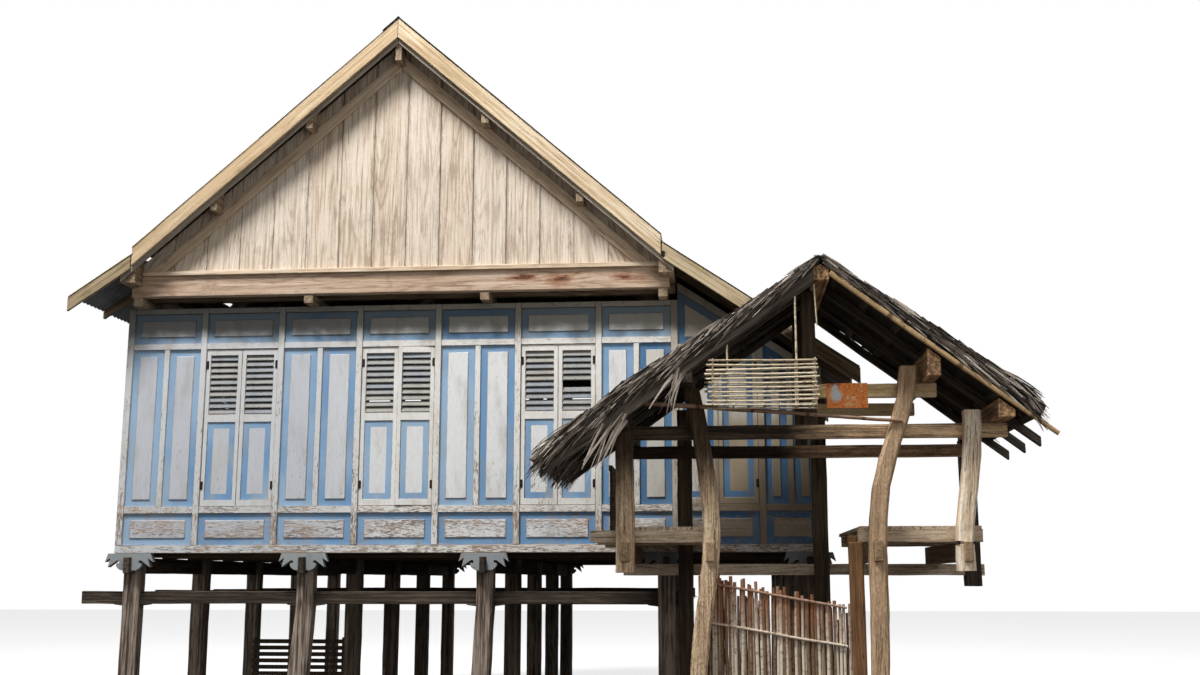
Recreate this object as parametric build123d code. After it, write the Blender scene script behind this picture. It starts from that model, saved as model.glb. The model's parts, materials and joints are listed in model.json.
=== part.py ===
from build123d import *
import math
import os

# A timber stilt house: a panelled room under a steep gabled roof, a lean-to aisle on its
# right, and a thatched entrance porch on crooked posts in front of the aisle.
# X runs along the front to the right, Y into the house, Z up from the ground. Millimetres.

# House posts and floor frame
POST_X = (-2380, -800, 800, 2380)
AISLE_POST_X = 3600
ROW_Y = (100, 1675, 3250, 4825, 6400)
POST_SIDE = 150
HEWN_CORNER = 18
POST_FEET = {(-800, 100): (-105, 190), (800, 100): (-70, 165)}
TIE_FOOT, TIE_TOP = 1400, 1510
TIE_THICK = 50
TIE_LEFT, TIE_RIGHT = -2850, 2520
WEDGE_THICK, WEDGE_TIP, WEDGE_REACH = 18, 7, 165
GIRDER_FOOT, GIRDER_TOP = 1665, 1805
GIRDER_THICK = 50
GIRDER_OUT = 65
JOIST_TOP = 1885
JOIST_WIDE, JOIST_INSET, JOISTS_PER_BAY = 60, 90, 3
SILL_FOOT = 1840
FLOOR_TOP = 1910
POST_CLEARANCE = 2

# Walls: outer faces, member depths and the heights of the rows of panels
WALL_LEFT, WALL_CORNER, WALL_RIGHT = -2520, 2500, 3740
WALL_FRONT, WALL_BACK = -40, 6540
WALL_DEPTH = 60
RAIL_SET = 5
MULLION, MULLION_LAYER = 50, (-55, -8)
MID_Y = (WALL_FRONT + WALL_BACK) / 2
BAY = 720
STUD = 55
CORNER = 60
LOW_TOP, MID_FOOT = 2190, 2250
MID_TOP, HIGH_FOOT = 3670, 3725
HIGH_TOP, WALL_TOP = 4000, 4050
AISLE_MID_TOP, AISLE_TOP = 3390, 3440
AISLE_STUD_X = 3215
AISLE_WINDOW_TOP, AISLE_LINTEL = 3600, 55
AISLE_SLOPE = 0.664
AISLE_SLOPE_START = 4135
AISLE_HEAD = 75
PANEL_THICK, PANEL_SET, PANEL_BORDER = 18, 40, 60
FIELD_RAISE, FIELD_BEVEL = 9, 30
SIDE_BAYS = 9

# Window leaves
LEAF_THICK = 30
LEAF_GAP = 3
STILE = 38
LEAF_RAIL = 55
LEAF_DEPTH = -45
LEAF_PANEL = (9, 21)
LEAF_MID_FOOT, LEAF_MID_TOP = 0.53, 0.58
SLAT_PITCH = 50
SLAT_WIDTH, SLAT_THICK, SLAT_TILT = 44, 7, 50
AJAR = 4

# Main roof: top line of the covering, then depths measured square to the slope
RIDGE_Z = 6665
PITCH = 41.3
EAVE_X = 2375
SHEET = 20
RAFTER_DEPTH = 100
PRINCIPAL_DEPTH, PRINCIPAL_WIDE = (222, 340), 70
RAFTER_WIDE = 50
RAFTER_COUNT = 12
ROOF_FRONT = -430
BARGE_FRONT, BARGE_THICK, BARGE_DEPTH = -400, 30, 154
VERGE_THICK, VERGE_DEPTH, VERGE_END = 20, 190, 2480
CAP_REACH, CAP_THICK = 150, 6
PLATE_TOP = 4130
CROSS_TOP = 4230
PLATE_WIDE = 80
KING_POST = 90
RIDGE_BEAM_WIDE, RIDGE_BEAM_FOOT = 56, 6255
PURLIN_X, PURLIN_WIDE, PURLIN_DEEP = (805, 1660), 64, 190
EAVE_PURLIN_X = (2350, 2480)

# Lower skirt roofs beside the main roof
SKIRT_PITCH = 34.1
SKIRT_DROP = 43
SKIRT_SHEET = 16
SKIRT_RAFTER_DEPTH = 71
SKIRT_BOARD_DEPTH = 130
SKIRT_RIGHT, SKIRT_LEFT = 4050, 2950

# Gable walls
GABLE_FRONT = -200
GABLE_BEAM_TOP = 4320
GABLE_BEAM_THICK = 90
GABLE_BEAM_END = 2440
CROSS_END = 2480
GABLE_BOARD = (20, 45)
TRIM_PROUD = 5
LEDGE_HEIGHT, LEDGE_OUT = 40, 45
RAKE_TRIM = (230, 325)

# Porch: front frame, rear frame and the lines of its crooked roof
PORCH_FRONT, PORCH_REAR = -1800, -500
PORCH_POST_DEEP = 120
REAR_POST = 120
PORCH_ROOF_FRONT, PORCH_ROOF_REAR = -2150, -440
PORCH_RIDGE_X, PORCH_RIDGE_Z = 3600, 3925
LEFT_THATCH_TOP = ((2160, 3015), (1470, 2470))
RIGHT_THATCH_TOP = ((4430, 3365), (5130, 2840))
LEFT_THATCH_FOOT, RIGHT_THATCH_FOOT = 1530, 5095
LEFT_RAFTER_TOP, LEFT_RAFTER_SLOPE = 3880, 0.702
RIGHT_RAFTER_TOP, RIGHT_RAFTER_SLOPE = 3860, 0.762
PORCH_RAFTER = 60
BATTEN = 15
PORCH_TIE = (2630, 2730)
REAR_TIE = (2590, 2690)
UPPER_TIE = (2930, 3030)
PORCH_JOIST = (1735, 1875)
PORCH_JOIST_WIDE = 60
BEARER_TOP = 1965
PORCH_FLOOR_TOP = 1990
REAR_BEARER = (1645, 1735)
PORCH_BACK = PORCH_FRONT + PORCH_POST_DEEP / 2
PORCH_INNER_END = WALL_FRONT - 5
FRAME_THICK = 70
TIE_X, REAR_TIE_X, UPPER_TIE_END = (2195, 4930), (2090, 4930), 4440
KING_X, RIDGE_BAR_X, RIDGE_BAR_FOOT = (3470, 3570), (3540, 3655), 3740
LEFT_PLATES = ((2110, 2190, 2690), (2580, 2660, 3000))
RIGHT_PLATES = ((4330, 4420, 3030), (4805, 4915, 2730))
RAFTER_Y, RAFTER_THICK = (-1600, -1100, -520), 50
RAKE_POLE = (1560, 100, (-2135, -2100))
EAVE_POLE = (5250, 48, (-2148, -2104))
LEFT_RAFTER_END, RIGHT_RAFTER_END = 1600, 5200
BATTEN_WIDE = 44
LEFT_BATTENS, RIGHT_BATTENS = (3490, -240, 8), (3710, 225, 7)
POST_A_X, POST_A_WIDE, POST_A = 2150, 130, (1660, 2690)
POST_B = [(2645, 0), (2652, 500), (2670, 940), (2735, 1460), (2775, 1800), (2775, 2100),
          (2740, 2450), (2685, 2800), (2640, 3000)]
POST_C = [(3938, 0), (3942, 500), (3950, 950), (3960, 1350), (3965, 1740), (3985, 2120),
          (4045, 2430), (4140, 2700), (4230, 3140)]
POST_D = [(4585, 1670), (4600, 2100), (4655, 2500), (4670, 2815)]
POST_B_WIDE, POST_C_WIDE, POST_D_WIDE = 122, 124, 120
POST_STEPS = 14
JOIST_X, PORCH_JOIST_FRONT = (2150, 2770, 3965, 4592), -1885
POST_E_X, POST_F_X, POST_G_X = 2560, 3660, 4860
REAR_POSTS = ((POST_E_X, 0, 3000), (POST_F_X, 0, 3100), (POST_G_X, 1560, 2730))
REAR_BEARER_X, REAR_BEARER_THICK = (2050, 4950), 60
BENCH_BEARER_X = ((1890, 2830), (3838, 4720))
BENCH_BEARER_Y = ((PORCH_BACK, PORCH_BACK + FRAME_THICK), (-1100, -1030), (-420, -350))
BENCH_X, BENCH_PLANKS, PLANK_GAP = ((2075, 2830), (3850, 4720)), 4, 8

# Fence, rack, railing and screen
FENCE_Y = -1722
FENCE_COUNT, FENCE_START, FENCE_PITCH, PICKET = 28, 2700, 38.5, (15, 8, 13)
FENCE_TOP, FENCE_FALL, FENCE_RAGGED = 1690, 8.6, 22
FENCE_LATH_Z, FENCE_LATH = (520, 1330), 32
NOTCHED_POST_X, NOTCHED_POST_TOP = (3768, 3868), 1925
RACK_X, RACK_Y = (2792, 3555), (-2100, -1905)
RACK_FOOT, RACK_PITCH, RACK_ROWS, RACK_SLAT = 2845, 35, 10, (8, 15)
RUSTY_PLATE_X, RUSTY_PLATE_Z = (3640, 3940), (2850, 3035)
POLE_ENDS, POLE_RADIUS = ((2215, 2895), (4160, 2735)), 13
RAILING_X, RAILING_Z, BALUSTER_X = (2020, 2045), (2410, 2450), (2026, 2039)
BALUSTERS, BALUSTER_PITCH, BALUSTER_WIDE = 7, 155, 70
SCREEN_Y, SCREEN_TOP, STAKE_X, STAKE = (1626, 1655), 1050, (-1790, -1330, -900), 20
SCREEN_SLATS, SCREEN_FOOT, SCREEN_PITCH, SCREEN_SLAT = 16, 60, 62, 40
UPRIGHT_X, UPRIGHT_TOPS, UPRIGHT = (2800, 2905, 3400, 3530), (3178, 3330, 3690, 3178), 12

pieces = {}


def put(name, *solids):
    """Add solids to the named piece."""
    for solid in solids:
        pieces.setdefault(name, []).extend(solid.solids())


def block(x, y, z):
    """A box between the two values of each of its ranges."""
    size = [abs(high - low) for low, high in (x, y, z)]
    middle = [(low + high) / 2 for low, high in (x, y, z)]
    return Pos(*middle) * Box(*size)


def slab_xz(points, y):
    """A flat outline in X and Z, as thick as the range y."""
    plane = Plane(origin=(0, y[1], 0), x_dir=(1, 0, 0), z_dir=(0, -1, 0))
    return extrude(plane * make_face(Polyline(*points, close=True)), amount=y[1] - y[0])


def slab_yz(points, x):
    """A flat outline in Y and Z, as thick as the range x."""
    plane = Plane(origin=(x[0], 0, 0), x_dir=(0, 1, 0), z_dir=(1, 0, 0))
    return extrude(plane * make_face(Polyline(*points, close=True)), amount=x[1] - x[0])


def pole(start, end, radius, sides=8):
    """A straight round stick from start to end."""
    line = Vector(*end) - Vector(*start)
    plane = Plane(origin=start, z_dir=line)
    return extrude(plane * RegularPolygon(radius, sides), amount=line.length)


def mirrored_x(solid):
    return mirror(solid, about=Plane.YZ)


def to_back(solid):
    """The same piece at the back of the house."""
    return mirror(solid, about=Plane.XZ.offset(-MID_Y))


def main_z(x, depth=0):
    """Height of a line at the given depth square to the main roof's top."""
    slope = math.radians(PITCH)
    return RIDGE_Z - math.tan(slope) * abs(x) - depth / math.cos(slope)


def skirt_z(x, depth=0):
    """The same for the lower skirt roofs, which start under the main eave."""
    slope = math.radians(SKIRT_PITCH)
    start = main_z(EAVE_X, SHEET) - SKIRT_DROP
    return start - math.tan(slope) * (abs(x) - EAVE_X) - depth / math.cos(slope)


def sloped_band(line, x0, x1, top, foot):
    """Outline between two depths of a roof line, with plumb ends."""
    return [(x0, line(x0, top)), (x1, line(x1, top)), (x1, line(x1, foot)), (x0, line(x0, foot))]


# Under the floor

def hewn_section(wide, deep):
    """A rectangle with its corners cut off, as an adze leaves them."""
    return chamfer(Rectangle(wide, deep).vertices(), HEWN_CORNER)


def house_post(x, y, top):
    """A hewn post with through mortises for its girder, its tie beam and the wedge."""
    knee = TIE_FOOT - WEDGE_THICK - 10
    post = Pos(x, y, knee) * extrude(hewn_section(POST_SIDE, POST_SIDE), amount=top - knee)
    lean, foot_side = POST_FEET.get((x, y), (0, POST_SIDE))
    foot = Pos(x + lean, y, 0) * hewn_section(foot_side, POST_SIDE)
    post += loft([foot, Pos(x, y, knee) * hewn_section(POST_SIDE, POST_SIDE)], ruled=True)
    half = POST_SIDE / 2
    post -= block((x - GIRDER_THICK / 2, x + GIRDER_THICK / 2), (y - half, y + half),
                  (GIRDER_FOOT, GIRDER_TOP))
    if x <= TIE_RIGHT:
        post -= block((x - half, x + half), (y - TIE_THICK / 2, y + TIE_THICK / 2),
                      (TIE_FOOT - WEDGE_THICK, TIE_TOP))
    return post


def tie_wedge(x, y):
    """A wedge driven through the mortise, under the tie beam."""
    half, reach = POST_SIDE / 2, WEDGE_REACH
    tip, foot = TIE_FOOT - WEDGE_TIP, TIE_FOOT - WEDGE_THICK
    outline = [(x - reach, TIE_FOOT), (x + reach, TIE_FOOT), (x + reach, tip), (x + half, foot),
               (x - half, foot), (x - reach, tip)]
    return slab_xz(outline, (y - TIE_THICK / 2, y + TIE_THICK / 2))


def bracket(x):
    """A carved board on a front post: two teeth and a curl on each side."""
    half_outline = (
        Polyline((0, 0), (196, 0), (220, -76), (172, -42), (192, -122), (112, -64), (96, -64),
                 (86, -76), (98, -90), (112, -84), (118, -104))
        + ThreePointArc((118, -104), (96, -134), (50, -150))
        + Polyline((50, -150), (0, -150), (0, 0))
    )
    half = make_face(half_outline)
    face = half + mirror(half, about=Plane.YZ)
    post_face = ROW_Y[0] - POST_SIDE / 2
    plane = Plane(origin=(x, post_face, SILL_FOOT), x_dir=(1, 0, 0), z_dir=(0, -1, 0))
    board = extrude(plane * face, amount=post_face - WALL_FRONT)
    return board - block((x - GIRDER_THICK / 2, x + GIRDER_THICK / 2),
                         (WALL_FRONT, ROW_Y[0]), (GIRDER_FOOT, GIRDER_TOP))


def understructure():
    for y in ROW_Y:
        for x in POST_X:
            put("house_posts", house_post(x, y, WALL_TOP))
            put("tie_wedges", tie_wedge(x, y))
        put("house_posts", house_post(AISLE_POST_X, y, AISLE_TOP))
        put("tie_beams", block((TIE_LEFT, TIE_RIGHT), (y - TIE_THICK / 2, y + TIE_THICK / 2),
                               (TIE_FOOT, TIE_TOP)))
    for x in POST_X + (AISLE_POST_X,):
        put("floor_girders", block((x - GIRDER_THICK / 2, x + GIRDER_THICK / 2),
                                   (WALL_FRONT - GIRDER_OUT, WALL_BACK + GIRDER_OUT),
                                   (GIRDER_FOOT, GIRDER_TOP)))
        put("carved_brackets", bracket(x), to_back(bracket(x)))
    floor_x = (WALL_LEFT + WALL_DEPTH, WALL_RIGHT - WALL_DEPTH)
    inner = POST_SIDE / 2 + JOIST_INSET
    half = JOIST_WIDE / 2
    for low, high in zip(ROW_Y, ROW_Y[1:]):
        for part in range(JOISTS_PER_BAY):
            y = low + inner + (high - low - 2 * inner) * part / (JOISTS_PER_BAY - 1)
            put("floor_joists", block(floor_x, (y - half, y + half), (GIRDER_TOP, JOIST_TOP)))
    floor = block(floor_x, (WALL_FRONT + WALL_DEPTH, WALL_BACK - WALL_DEPTH),
                  (JOIST_TOP, FLOOR_TOP))
    hole = POST_SIDE + 2 * POST_CLEARANCE
    for y in ROW_Y:
        for x in POST_X + (AISLE_POST_X,):
            floor -= Pos(x, y, FLOOR_TOP) * Box(hole, hole, 100)
    put("floor_deck", floor)


# Walls, each in its own plane: u along the wall, z up, w outwards from its outer face

FRONT_PLANE = Plane(origin=(0, WALL_FRONT, 0), x_dir=(1, 0, 0), z_dir=(0, -1, 0))
LEFT_PLANE = Plane(origin=(WALL_LEFT, 0, 0), x_dir=(0, -1, 0), z_dir=(-1, 0, 0))
RIGHT_PLANE = Plane(origin=(WALL_RIGHT, 0, 0), x_dir=(0, 1, 0), z_dir=(1, 0, 0))


def wall_block(plane, u, z, w=(-WALL_DEPTH, 0)):
    return plane.location * block(u, z, w)


def panel(plane, points):
    """A board with a bevelled field raised inside a flat border."""
    face = make_face(Polyline(*points, close=True))
    field = offset(face, amount=-PANEL_BORDER, kind=Kind.INTERSECTION)
    board = extrude(Pos(0, 0, -PANEL_SET) * face, amount=PANEL_THICK)
    front = Pos(0, 0, PANEL_THICK - PANEL_SET)
    raised = extrude(front * field, amount=FIELD_RAISE, taper=FIELD_BEVEL)
    return plane.location * (board + raised)


def square_panel(plane, u, z):
    return panel(plane, [(u[0], z[0]), (u[1], z[0]), (u[1], z[1]), (u[0], z[1])])


def leaf(width, height, louvred):
    """The frame and flat panel of a window leaf, with its lower left corner at the origin."""
    inside = (STILE, width - STILE)
    top = height - LEAF_RAIL
    opening = block(inside, (LEAF_RAIL, top), (0, LEAF_THICK))
    frame = block((0, width), (0, height), (0, LEAF_THICK)) - opening
    if louvred:
        top = height * LEAF_MID_FOOT
        frame += block(inside, (top, height * LEAF_MID_TOP), (0, LEAF_THICK))
    return frame + block(inside, (LEAF_RAIL, top), LEAF_PANEL)


def louvres(width, height, missing):
    """The slats housed between the stiles of such a leaf, above its middle rail."""
    foot, top = height * LEAF_MID_TOP, height - LEAF_RAIL
    count = int((top - foot) / SLAT_PITCH)
    pitch = (top - foot) / count
    slat = Rot(X=-SLAT_TILT) * Box(width - 2 * STILE, SLAT_WIDTH, SLAT_THICK)
    return [Pos(width / 2, foot + pitch * (k + 0.5), LEAF_THICK / 2) * slat
            for k in range(count) if k not in missing]


def window(side, plane, u, z, louvred=True, missing=(), ajar=0):
    """A pair of leaves in a bay. The right one may have lost slats or stand ajar."""
    width = (u[1] - u[0] - 3 * LEAF_GAP) / 2
    height = z[1] - z[0] - 2 * LEAF_GAP
    left = plane.location * Pos(u[0] + LEAF_GAP, z[0] + LEAF_GAP, LEAF_DEPTH)
    hinge = Pos(u[1] - LEAF_GAP, z[0] + LEAF_GAP, LEAF_DEPTH + LEAF_THICK) * Rot(Y=ajar)
    right = plane.location * hinge * Pos(-width, 0, -LEAF_THICK)
    for place, lost in ((left, ()), (right, missing)):
        put(side + "_shutters", place * leaf(width, height, louvred))
        if louvred:
            put(side + "_louvres", *[place * slat for slat in louvres(width, height, lost)])


def tall_panels(name, plane, u, z):
    """Two fixed panels with a mullion between them."""
    middle = (u[0] + u[1]) / 2
    half = MULLION / 2
    put("wall_studs", wall_block(plane, (middle - half, middle + half), z, MULLION_LAYER))
    put(name, square_panel(plane, (u[0], middle - half), z))
    put(name, square_panel(plane, (middle + half, u[1]), z))


def full_bay(side, plane, u, is_window, missing=(), ajar=0):
    """One bay of a full-height wall: three rows between the sill and the head rail."""
    for rail in ((LOW_TOP, MID_FOOT), (MID_TOP, HIGH_FOOT), (HIGH_TOP, WALL_TOP)):
        put("wall_rails", wall_block(plane, u, rail, (-WALL_DEPTH, -RAIL_SET)))
    put(side + "_panels", square_panel(plane, u, (FLOOR_TOP, LOW_TOP)))
    put(side + "_panels", square_panel(plane, u, (HIGH_FOOT, HIGH_TOP)))
    if is_window:
        window(side, plane, u, (MID_FOOT, MID_TOP), True, missing, ajar)
    else:
        tall_panels(side + "_panels", plane, u, (MID_FOOT, MID_TOP))


def aisle_bay(side, plane, u, is_window):
    """One bay of the low outer wall of the aisle: two rows."""
    for rail in ((LOW_TOP, MID_FOOT), (AISLE_MID_TOP, AISLE_TOP)):
        put("wall_rails", wall_block(plane, u, rail, (-WALL_DEPTH, -RAIL_SET)))
    put(side + "_panels", square_panel(plane, u, (FLOOR_TOP, LOW_TOP)))
    if is_window:
        window(side, plane, u, (MID_FOOT, AISLE_MID_TOP), louvred=False)
    else:
        tall_panels(side + "_panels", plane, u, (MID_FOOT, AISLE_MID_TOP))


def bays_between(start, end, studs):
    """The clear ranges left between the studs."""
    edges = [start]
    for u in studs:
        edges += [u - STUD / 2, u + STUD / 2]
    edges.append(end)
    return list(zip(edges[0::2], edges[1::2]))


def aisle_top(x):
    """Top of the panels in the end wall of the aisle, under its sloping head."""
    return AISLE_SLOPE_START - AISLE_SLOPE * (x - WALL_CORNER)


def aisle_end(side):
    """The end wall of the aisle: an upper door, a bay of panels and a sloping head."""
    plane = FRONT_PLANE
    door = (WALL_CORNER, AISLE_STUD_X - STUD / 2)
    bay = (AISLE_STUD_X + STUD / 2, WALL_RIGHT - CORNER)
    stud = [(door[1], FLOOR_TOP), (bay[0], FLOOR_TOP), (bay[0], aisle_top(bay[0])),
            (door[1], aisle_top(door[1]))]
    put("wall_studs", slab_xz(stud, (WALL_FRONT, WALL_FRONT + WALL_DEPTH)))
    corner = ((WALL_RIGHT - CORNER, WALL_RIGHT), (WALL_FRONT, WALL_FRONT + WALL_DEPTH))
    put("wall_studs", block(*corner, (FLOOR_TOP, AISLE_TOP)))
    head_x = (WALL_CORNER, WALL_RIGHT - CORNER)
    head = [(x, aisle_top(x) + rise) for x, rise in
            ((head_x[0], 0), (head_x[1], 0), (head_x[1], AISLE_HEAD), (head_x[0], AISLE_HEAD))]
    half = PLATE_WIDE / 2 + POST_CLEARANCE
    plate_notch = block((AISLE_POST_X - half, AISLE_POST_X + half), (WALL_FRONT, WALL_DEPTH),
                        (AISLE_TOP, WALL_TOP))
    head_y = (WALL_FRONT + RAIL_SET, WALL_FRONT + WALL_DEPTH)
    put("wall_rails", slab_xz(head, head_y) - plate_notch)
    for u in (door, bay):
        put("wall_rails", wall_block(plane, u, (LOW_TOP, MID_FOOT), (-WALL_DEPTH, -RAIL_SET)))
        put(side + "_panels", square_panel(plane, u, (FLOOR_TOP, LOW_TOP)))
    over = AISLE_WINDOW_TOP + AISLE_LINTEL
    put("wall_rails", wall_block(plane, door, (AISLE_WINDOW_TOP, over),
                                 (-WALL_DEPTH, -RAIL_SET)))
    window(side, plane, door, (MID_FOOT, AISLE_WINDOW_TOP), louvred=False)
    put(side + "_panels", panel(plane, [(door[0], over), (door[1], over),
                                        (door[1], aisle_top(door[1])),
                                        (door[0], aisle_top(door[0]))]))
    middle, half = (bay[0] + bay[1]) / 2, MULLION / 2
    mullion = [(middle - half, MID_FOOT), (middle + half, MID_FOOT),
               (middle + half, aisle_top(middle + half)), (middle - half, aisle_top(middle - half))]
    put("wall_studs", slab_xz(mullion, (WALL_FRONT - MULLION_LAYER[1],
                                        WALL_FRONT - MULLION_LAYER[0])))
    for u in ((bay[0], middle - half), (middle + half, bay[1])):
        put(side + "_panels", panel(plane, [(u[0], MID_FOOT), (u[1], MID_FOOT),
                                            (u[1], aisle_top(u[1])), (u[0], aisle_top(u[0]))]))


def end_wall(side, damaged):
    """The front wall. The back one is built the same, whole, and mirrored."""
    studs = [BAY * (k - 2.5) for k in range(6)]
    start, end = WALL_LEFT + CORNER, WALL_CORNER - CORNER
    for u in studs + [WALL_LEFT + CORNER / 2, WALL_CORNER - CORNER / 2]:
        half = CORNER / 2 if abs(u) > BAY * 3 else STUD / 2
        put("wall_studs", wall_block(FRONT_PLANE, (u - half, u + half), (FLOOR_TOP, WALL_TOP)))
    for number, u in enumerate(bays_between(start, end, studs)):
        missing = (4,) if damaged and number == 5 else ()
        ajar = AJAR if damaged and number == 3 else 0
        full_bay(side, FRONT_PLANE, u, number % 2 == 1, missing, ajar)
    aisle_end(side)


def side_wall(side, plane, bay, top):
    """A long wall between the corner studs of the end walls."""
    start, end = WALL_FRONT + WALL_DEPTH, WALL_BACK - WALL_DEPTH
    if plane is LEFT_PLANE:
        start, end = -end, -start
    pitch = (end - start) / SIDE_BAYS
    studs = [start + pitch * (k + 1) for k in range(SIDE_BAYS - 1)]
    for u in studs:
        put("wall_studs", wall_block(plane, (u - STUD / 2, u + STUD / 2), (FLOOR_TOP, top)))
    for number, u in enumerate(bays_between(start, end, studs)):
        bay(side, plane, u, number % 2 == 1)


def walls():
    end_wall("front", damaged=True)
    shared = {name: list(pieces[name]) for name in ("wall_studs", "wall_rails")}
    end_wall("back", damaged=False)
    for name, fronts in shared.items():
        whole = pieces[name][len(fronts):]
        pieces[name] = fronts
        put(name, *[to_back(solid) for solid in whole])
    for name in ("back_panels", "back_shutters", "back_louvres"):
        pieces[name] = [to_back(solid) for solid in pieces[name]]
    side_wall("left", LEFT_PLANE, full_bay, WALL_TOP)
    side_wall("right", RIGHT_PLANE, aisle_bay, AISLE_TOP)
    depth = WALL_FRONT + WALL_DEPTH
    end_sill = block((WALL_LEFT, WALL_RIGHT), (WALL_FRONT, depth), (SILL_FOOT, FLOOR_TOP))
    put("end_sills", end_sill, to_back(end_sill))
    for x in ((WALL_LEFT, WALL_LEFT + WALL_DEPTH), (WALL_RIGHT - WALL_DEPTH, WALL_RIGHT)):
        put("side_sills", block(x, (depth, WALL_BACK - WALL_DEPTH), (SILL_FOOT, FLOOR_TOP)))


# Roof frame and gables

def roof_frame():
    plate_y = (GABLE_FRONT + 10, WALL_BACK + WALL_FRONT - GABLE_FRONT - 10)
    half = PLATE_WIDE / 2
    for x in POST_X:
        put("long_plates", block((x - half, x + half), plate_y, (WALL_TOP, PLATE_TOP)))
    inner, outer = AISLE_POST_X - half, AISLE_POST_X + half
    plate = [(inner, AISLE_TOP), (outer, AISLE_TOP), (outer, skirt_z(outer, SKIRT_RAFTER_DEPTH)),
             (inner, skirt_z(inner, SKIRT_RAFTER_DEPTH))]
    front = BARGE_FRONT + BARGE_THICK + VERGE_THICK
    roof_y = (front, WALL_BACK + WALL_FRONT - front)
    put("long_plates", slab_xz(plate, roof_y))

    ridge_x = RIDGE_BEAM_WIDE / 2
    ridge = [(-ridge_x, main_z(ridge_x, RAFTER_DEPTH)), (0, main_z(0, RAFTER_DEPTH)),
             (ridge_x, main_z(ridge_x, RAFTER_DEPTH)), (ridge_x, RIDGE_BEAM_FOOT),
             (-ridge_x, RIDGE_BEAM_FOOT)]
    put("ridge_and_purlins", slab_xz(ridge, roof_y))
    for x in PURLIN_X:
        near, far = x - PURLIN_WIDE / 2, x + PURLIN_WIDE / 2
        foot = main_z(x, RAFTER_DEPTH) - PURLIN_DEEP
        outline = [(near, foot), (far, foot), (far, main_z(far, RAFTER_DEPTH)),
                   (near, main_z(near, RAFTER_DEPTH))]
        purlin = slab_xz(outline, roof_y)
        put("ridge_and_purlins", purlin, mirrored_x(purlin))
    kink = EAVE_X + 2
    near, far = EAVE_PURLIN_X
    eave = [(near, CROSS_TOP), (near, main_z(near, RAFTER_DEPTH)),
            (kink, main_z(kink, RAFTER_DEPTH)), (kink, skirt_z(kink, SKIRT_RAFTER_DEPTH)),
            (far, skirt_z(far, SKIRT_RAFTER_DEPTH)), (far, CROSS_TOP)]
    purlin = slab_xz(eave, roof_y)
    put("ridge_and_purlins", purlin, mirrored_x(purlin))

    tilt = math.tan(math.radians(PITCH))
    post = KING_POST / 2
    top, low = [(main_z(0, depth) - CROSS_TOP) / tilt for depth in PRINCIPAL_DEPTH]
    for y in ROW_Y:
        put("cross_beams", block((-CROSS_END, CROSS_END), (y - half, y + half),
                                 (PLATE_TOP, CROSS_TOP)))
        put("king_posts", block((-post, post), (y - post, y + post),
                                (CROSS_TOP, RIDGE_BEAM_FOOT)))
        outline = [(post, main_z(post, PRINCIPAL_DEPTH[0])), (top, CROSS_TOP), (low, CROSS_TOP),
                   (post, main_z(post, PRINCIPAL_DEPTH[1]))]
        principal = slab_xz(outline, (y - PRINCIPAL_WIDE / 2, y + PRINCIPAL_WIDE / 2))
        for bar in pieces["ridge_and_purlins"]:
            principal -= bar
        principal = principal.solids().sort_by(SortBy.VOLUME)[-1]
        put("principal_rafters", principal, mirrored_x(principal))

    first, last = roof_y[0] + 5, roof_y[1] - 5 - RAFTER_WIDE
    for k in range(RAFTER_COUNT):
        y = first + (last - first) * k / (RAFTER_COUNT - 1)
        across = (y, y + RAFTER_WIDE)
        rafter = slab_xz(sloped_band(main_z, 4, EAVE_X, SHEET, RAFTER_DEPTH), across)
        put("main_rafters", rafter, mirrored_x(rafter))
        for far, turn in ((SKIRT_RIGHT - 10, False), (SKIRT_LEFT - 10, True)):
            outline = sloped_band(skirt_z, EAVE_X + 8, far, SKIRT_SHEET, SKIRT_RAFTER_DEPTH)
            rafter = slab_xz(outline, across)
            put("skirt_rafters", mirrored_x(rafter) if turn else rafter)


def roof_cover():
    cover_y = (ROOF_FRONT, WALL_BACK + WALL_FRONT - ROOF_FRONT)
    sheet = slab_xz(sloped_band(main_z, 4, EAVE_X + 8, 0, SHEET), cover_y)
    put("main_roof", sheet, mirrored_x(sheet))
    right = slab_xz(sloped_band(skirt_z, EAVE_X + 4, SKIRT_RIGHT, 0, SKIRT_SHEET), cover_y)
    left = slab_xz(sloped_band(skirt_z, EAVE_X + 4, SKIRT_LEFT, 0, SKIRT_SHEET), cover_y)
    put("skirt_roofs", right, mirrored_x(left))
    rise = CAP_THICK * 1.4
    cap = [(1, main_z(1)), (CAP_REACH, main_z(CAP_REACH)),
           (CAP_REACH, main_z(CAP_REACH) + CAP_THICK), (1, main_z(1) + rise)]
    half_cap = slab_xz(cap, cover_y)
    put("ridge_cap", half_cap, mirrored_x(half_cap))

    board_y = (BARGE_FRONT, BARGE_FRONT + BARGE_THICK)
    verge_y = (board_y[1], board_y[1] + VERGE_THICK)
    main = slab_xz(sloped_band(main_z, 2, EAVE_X - 2, SHEET, BARGE_DEPTH), board_y)
    verge = slab_xz(verge_outline(), verge_y)
    boards = [main, mirrored_x(main), verge, mirrored_x(verge)]
    for far, turn in ((SKIRT_RIGHT - 10, False), (SKIRT_LEFT - 10, True)):
        outline = sloped_band(skirt_z, EAVE_X + 8, far, SKIRT_SHEET, SKIRT_BOARD_DEPTH)
        board = slab_xz(outline, board_y)
        boards.append(mirrored_x(board) if turn else board)
    for board in boards:
        put("barge_boards", board, to_back(board))


def verge_outline():
    """The thin board behind the main barge board, which ends lower than it."""
    end = VERGE_END
    return [(2, main_z(2, SHEET)), (EAVE_X - 2, main_z(EAVE_X - 2, SHEET)),
            (EAVE_X - 2, skirt_z(EAVE_X, SKIRT_SHEET)), (end, skirt_z(end, SKIRT_SHEET)),
            (end, main_z(end, VERGE_DEPTH)), (2, main_z(2, VERGE_DEPTH))]


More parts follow.
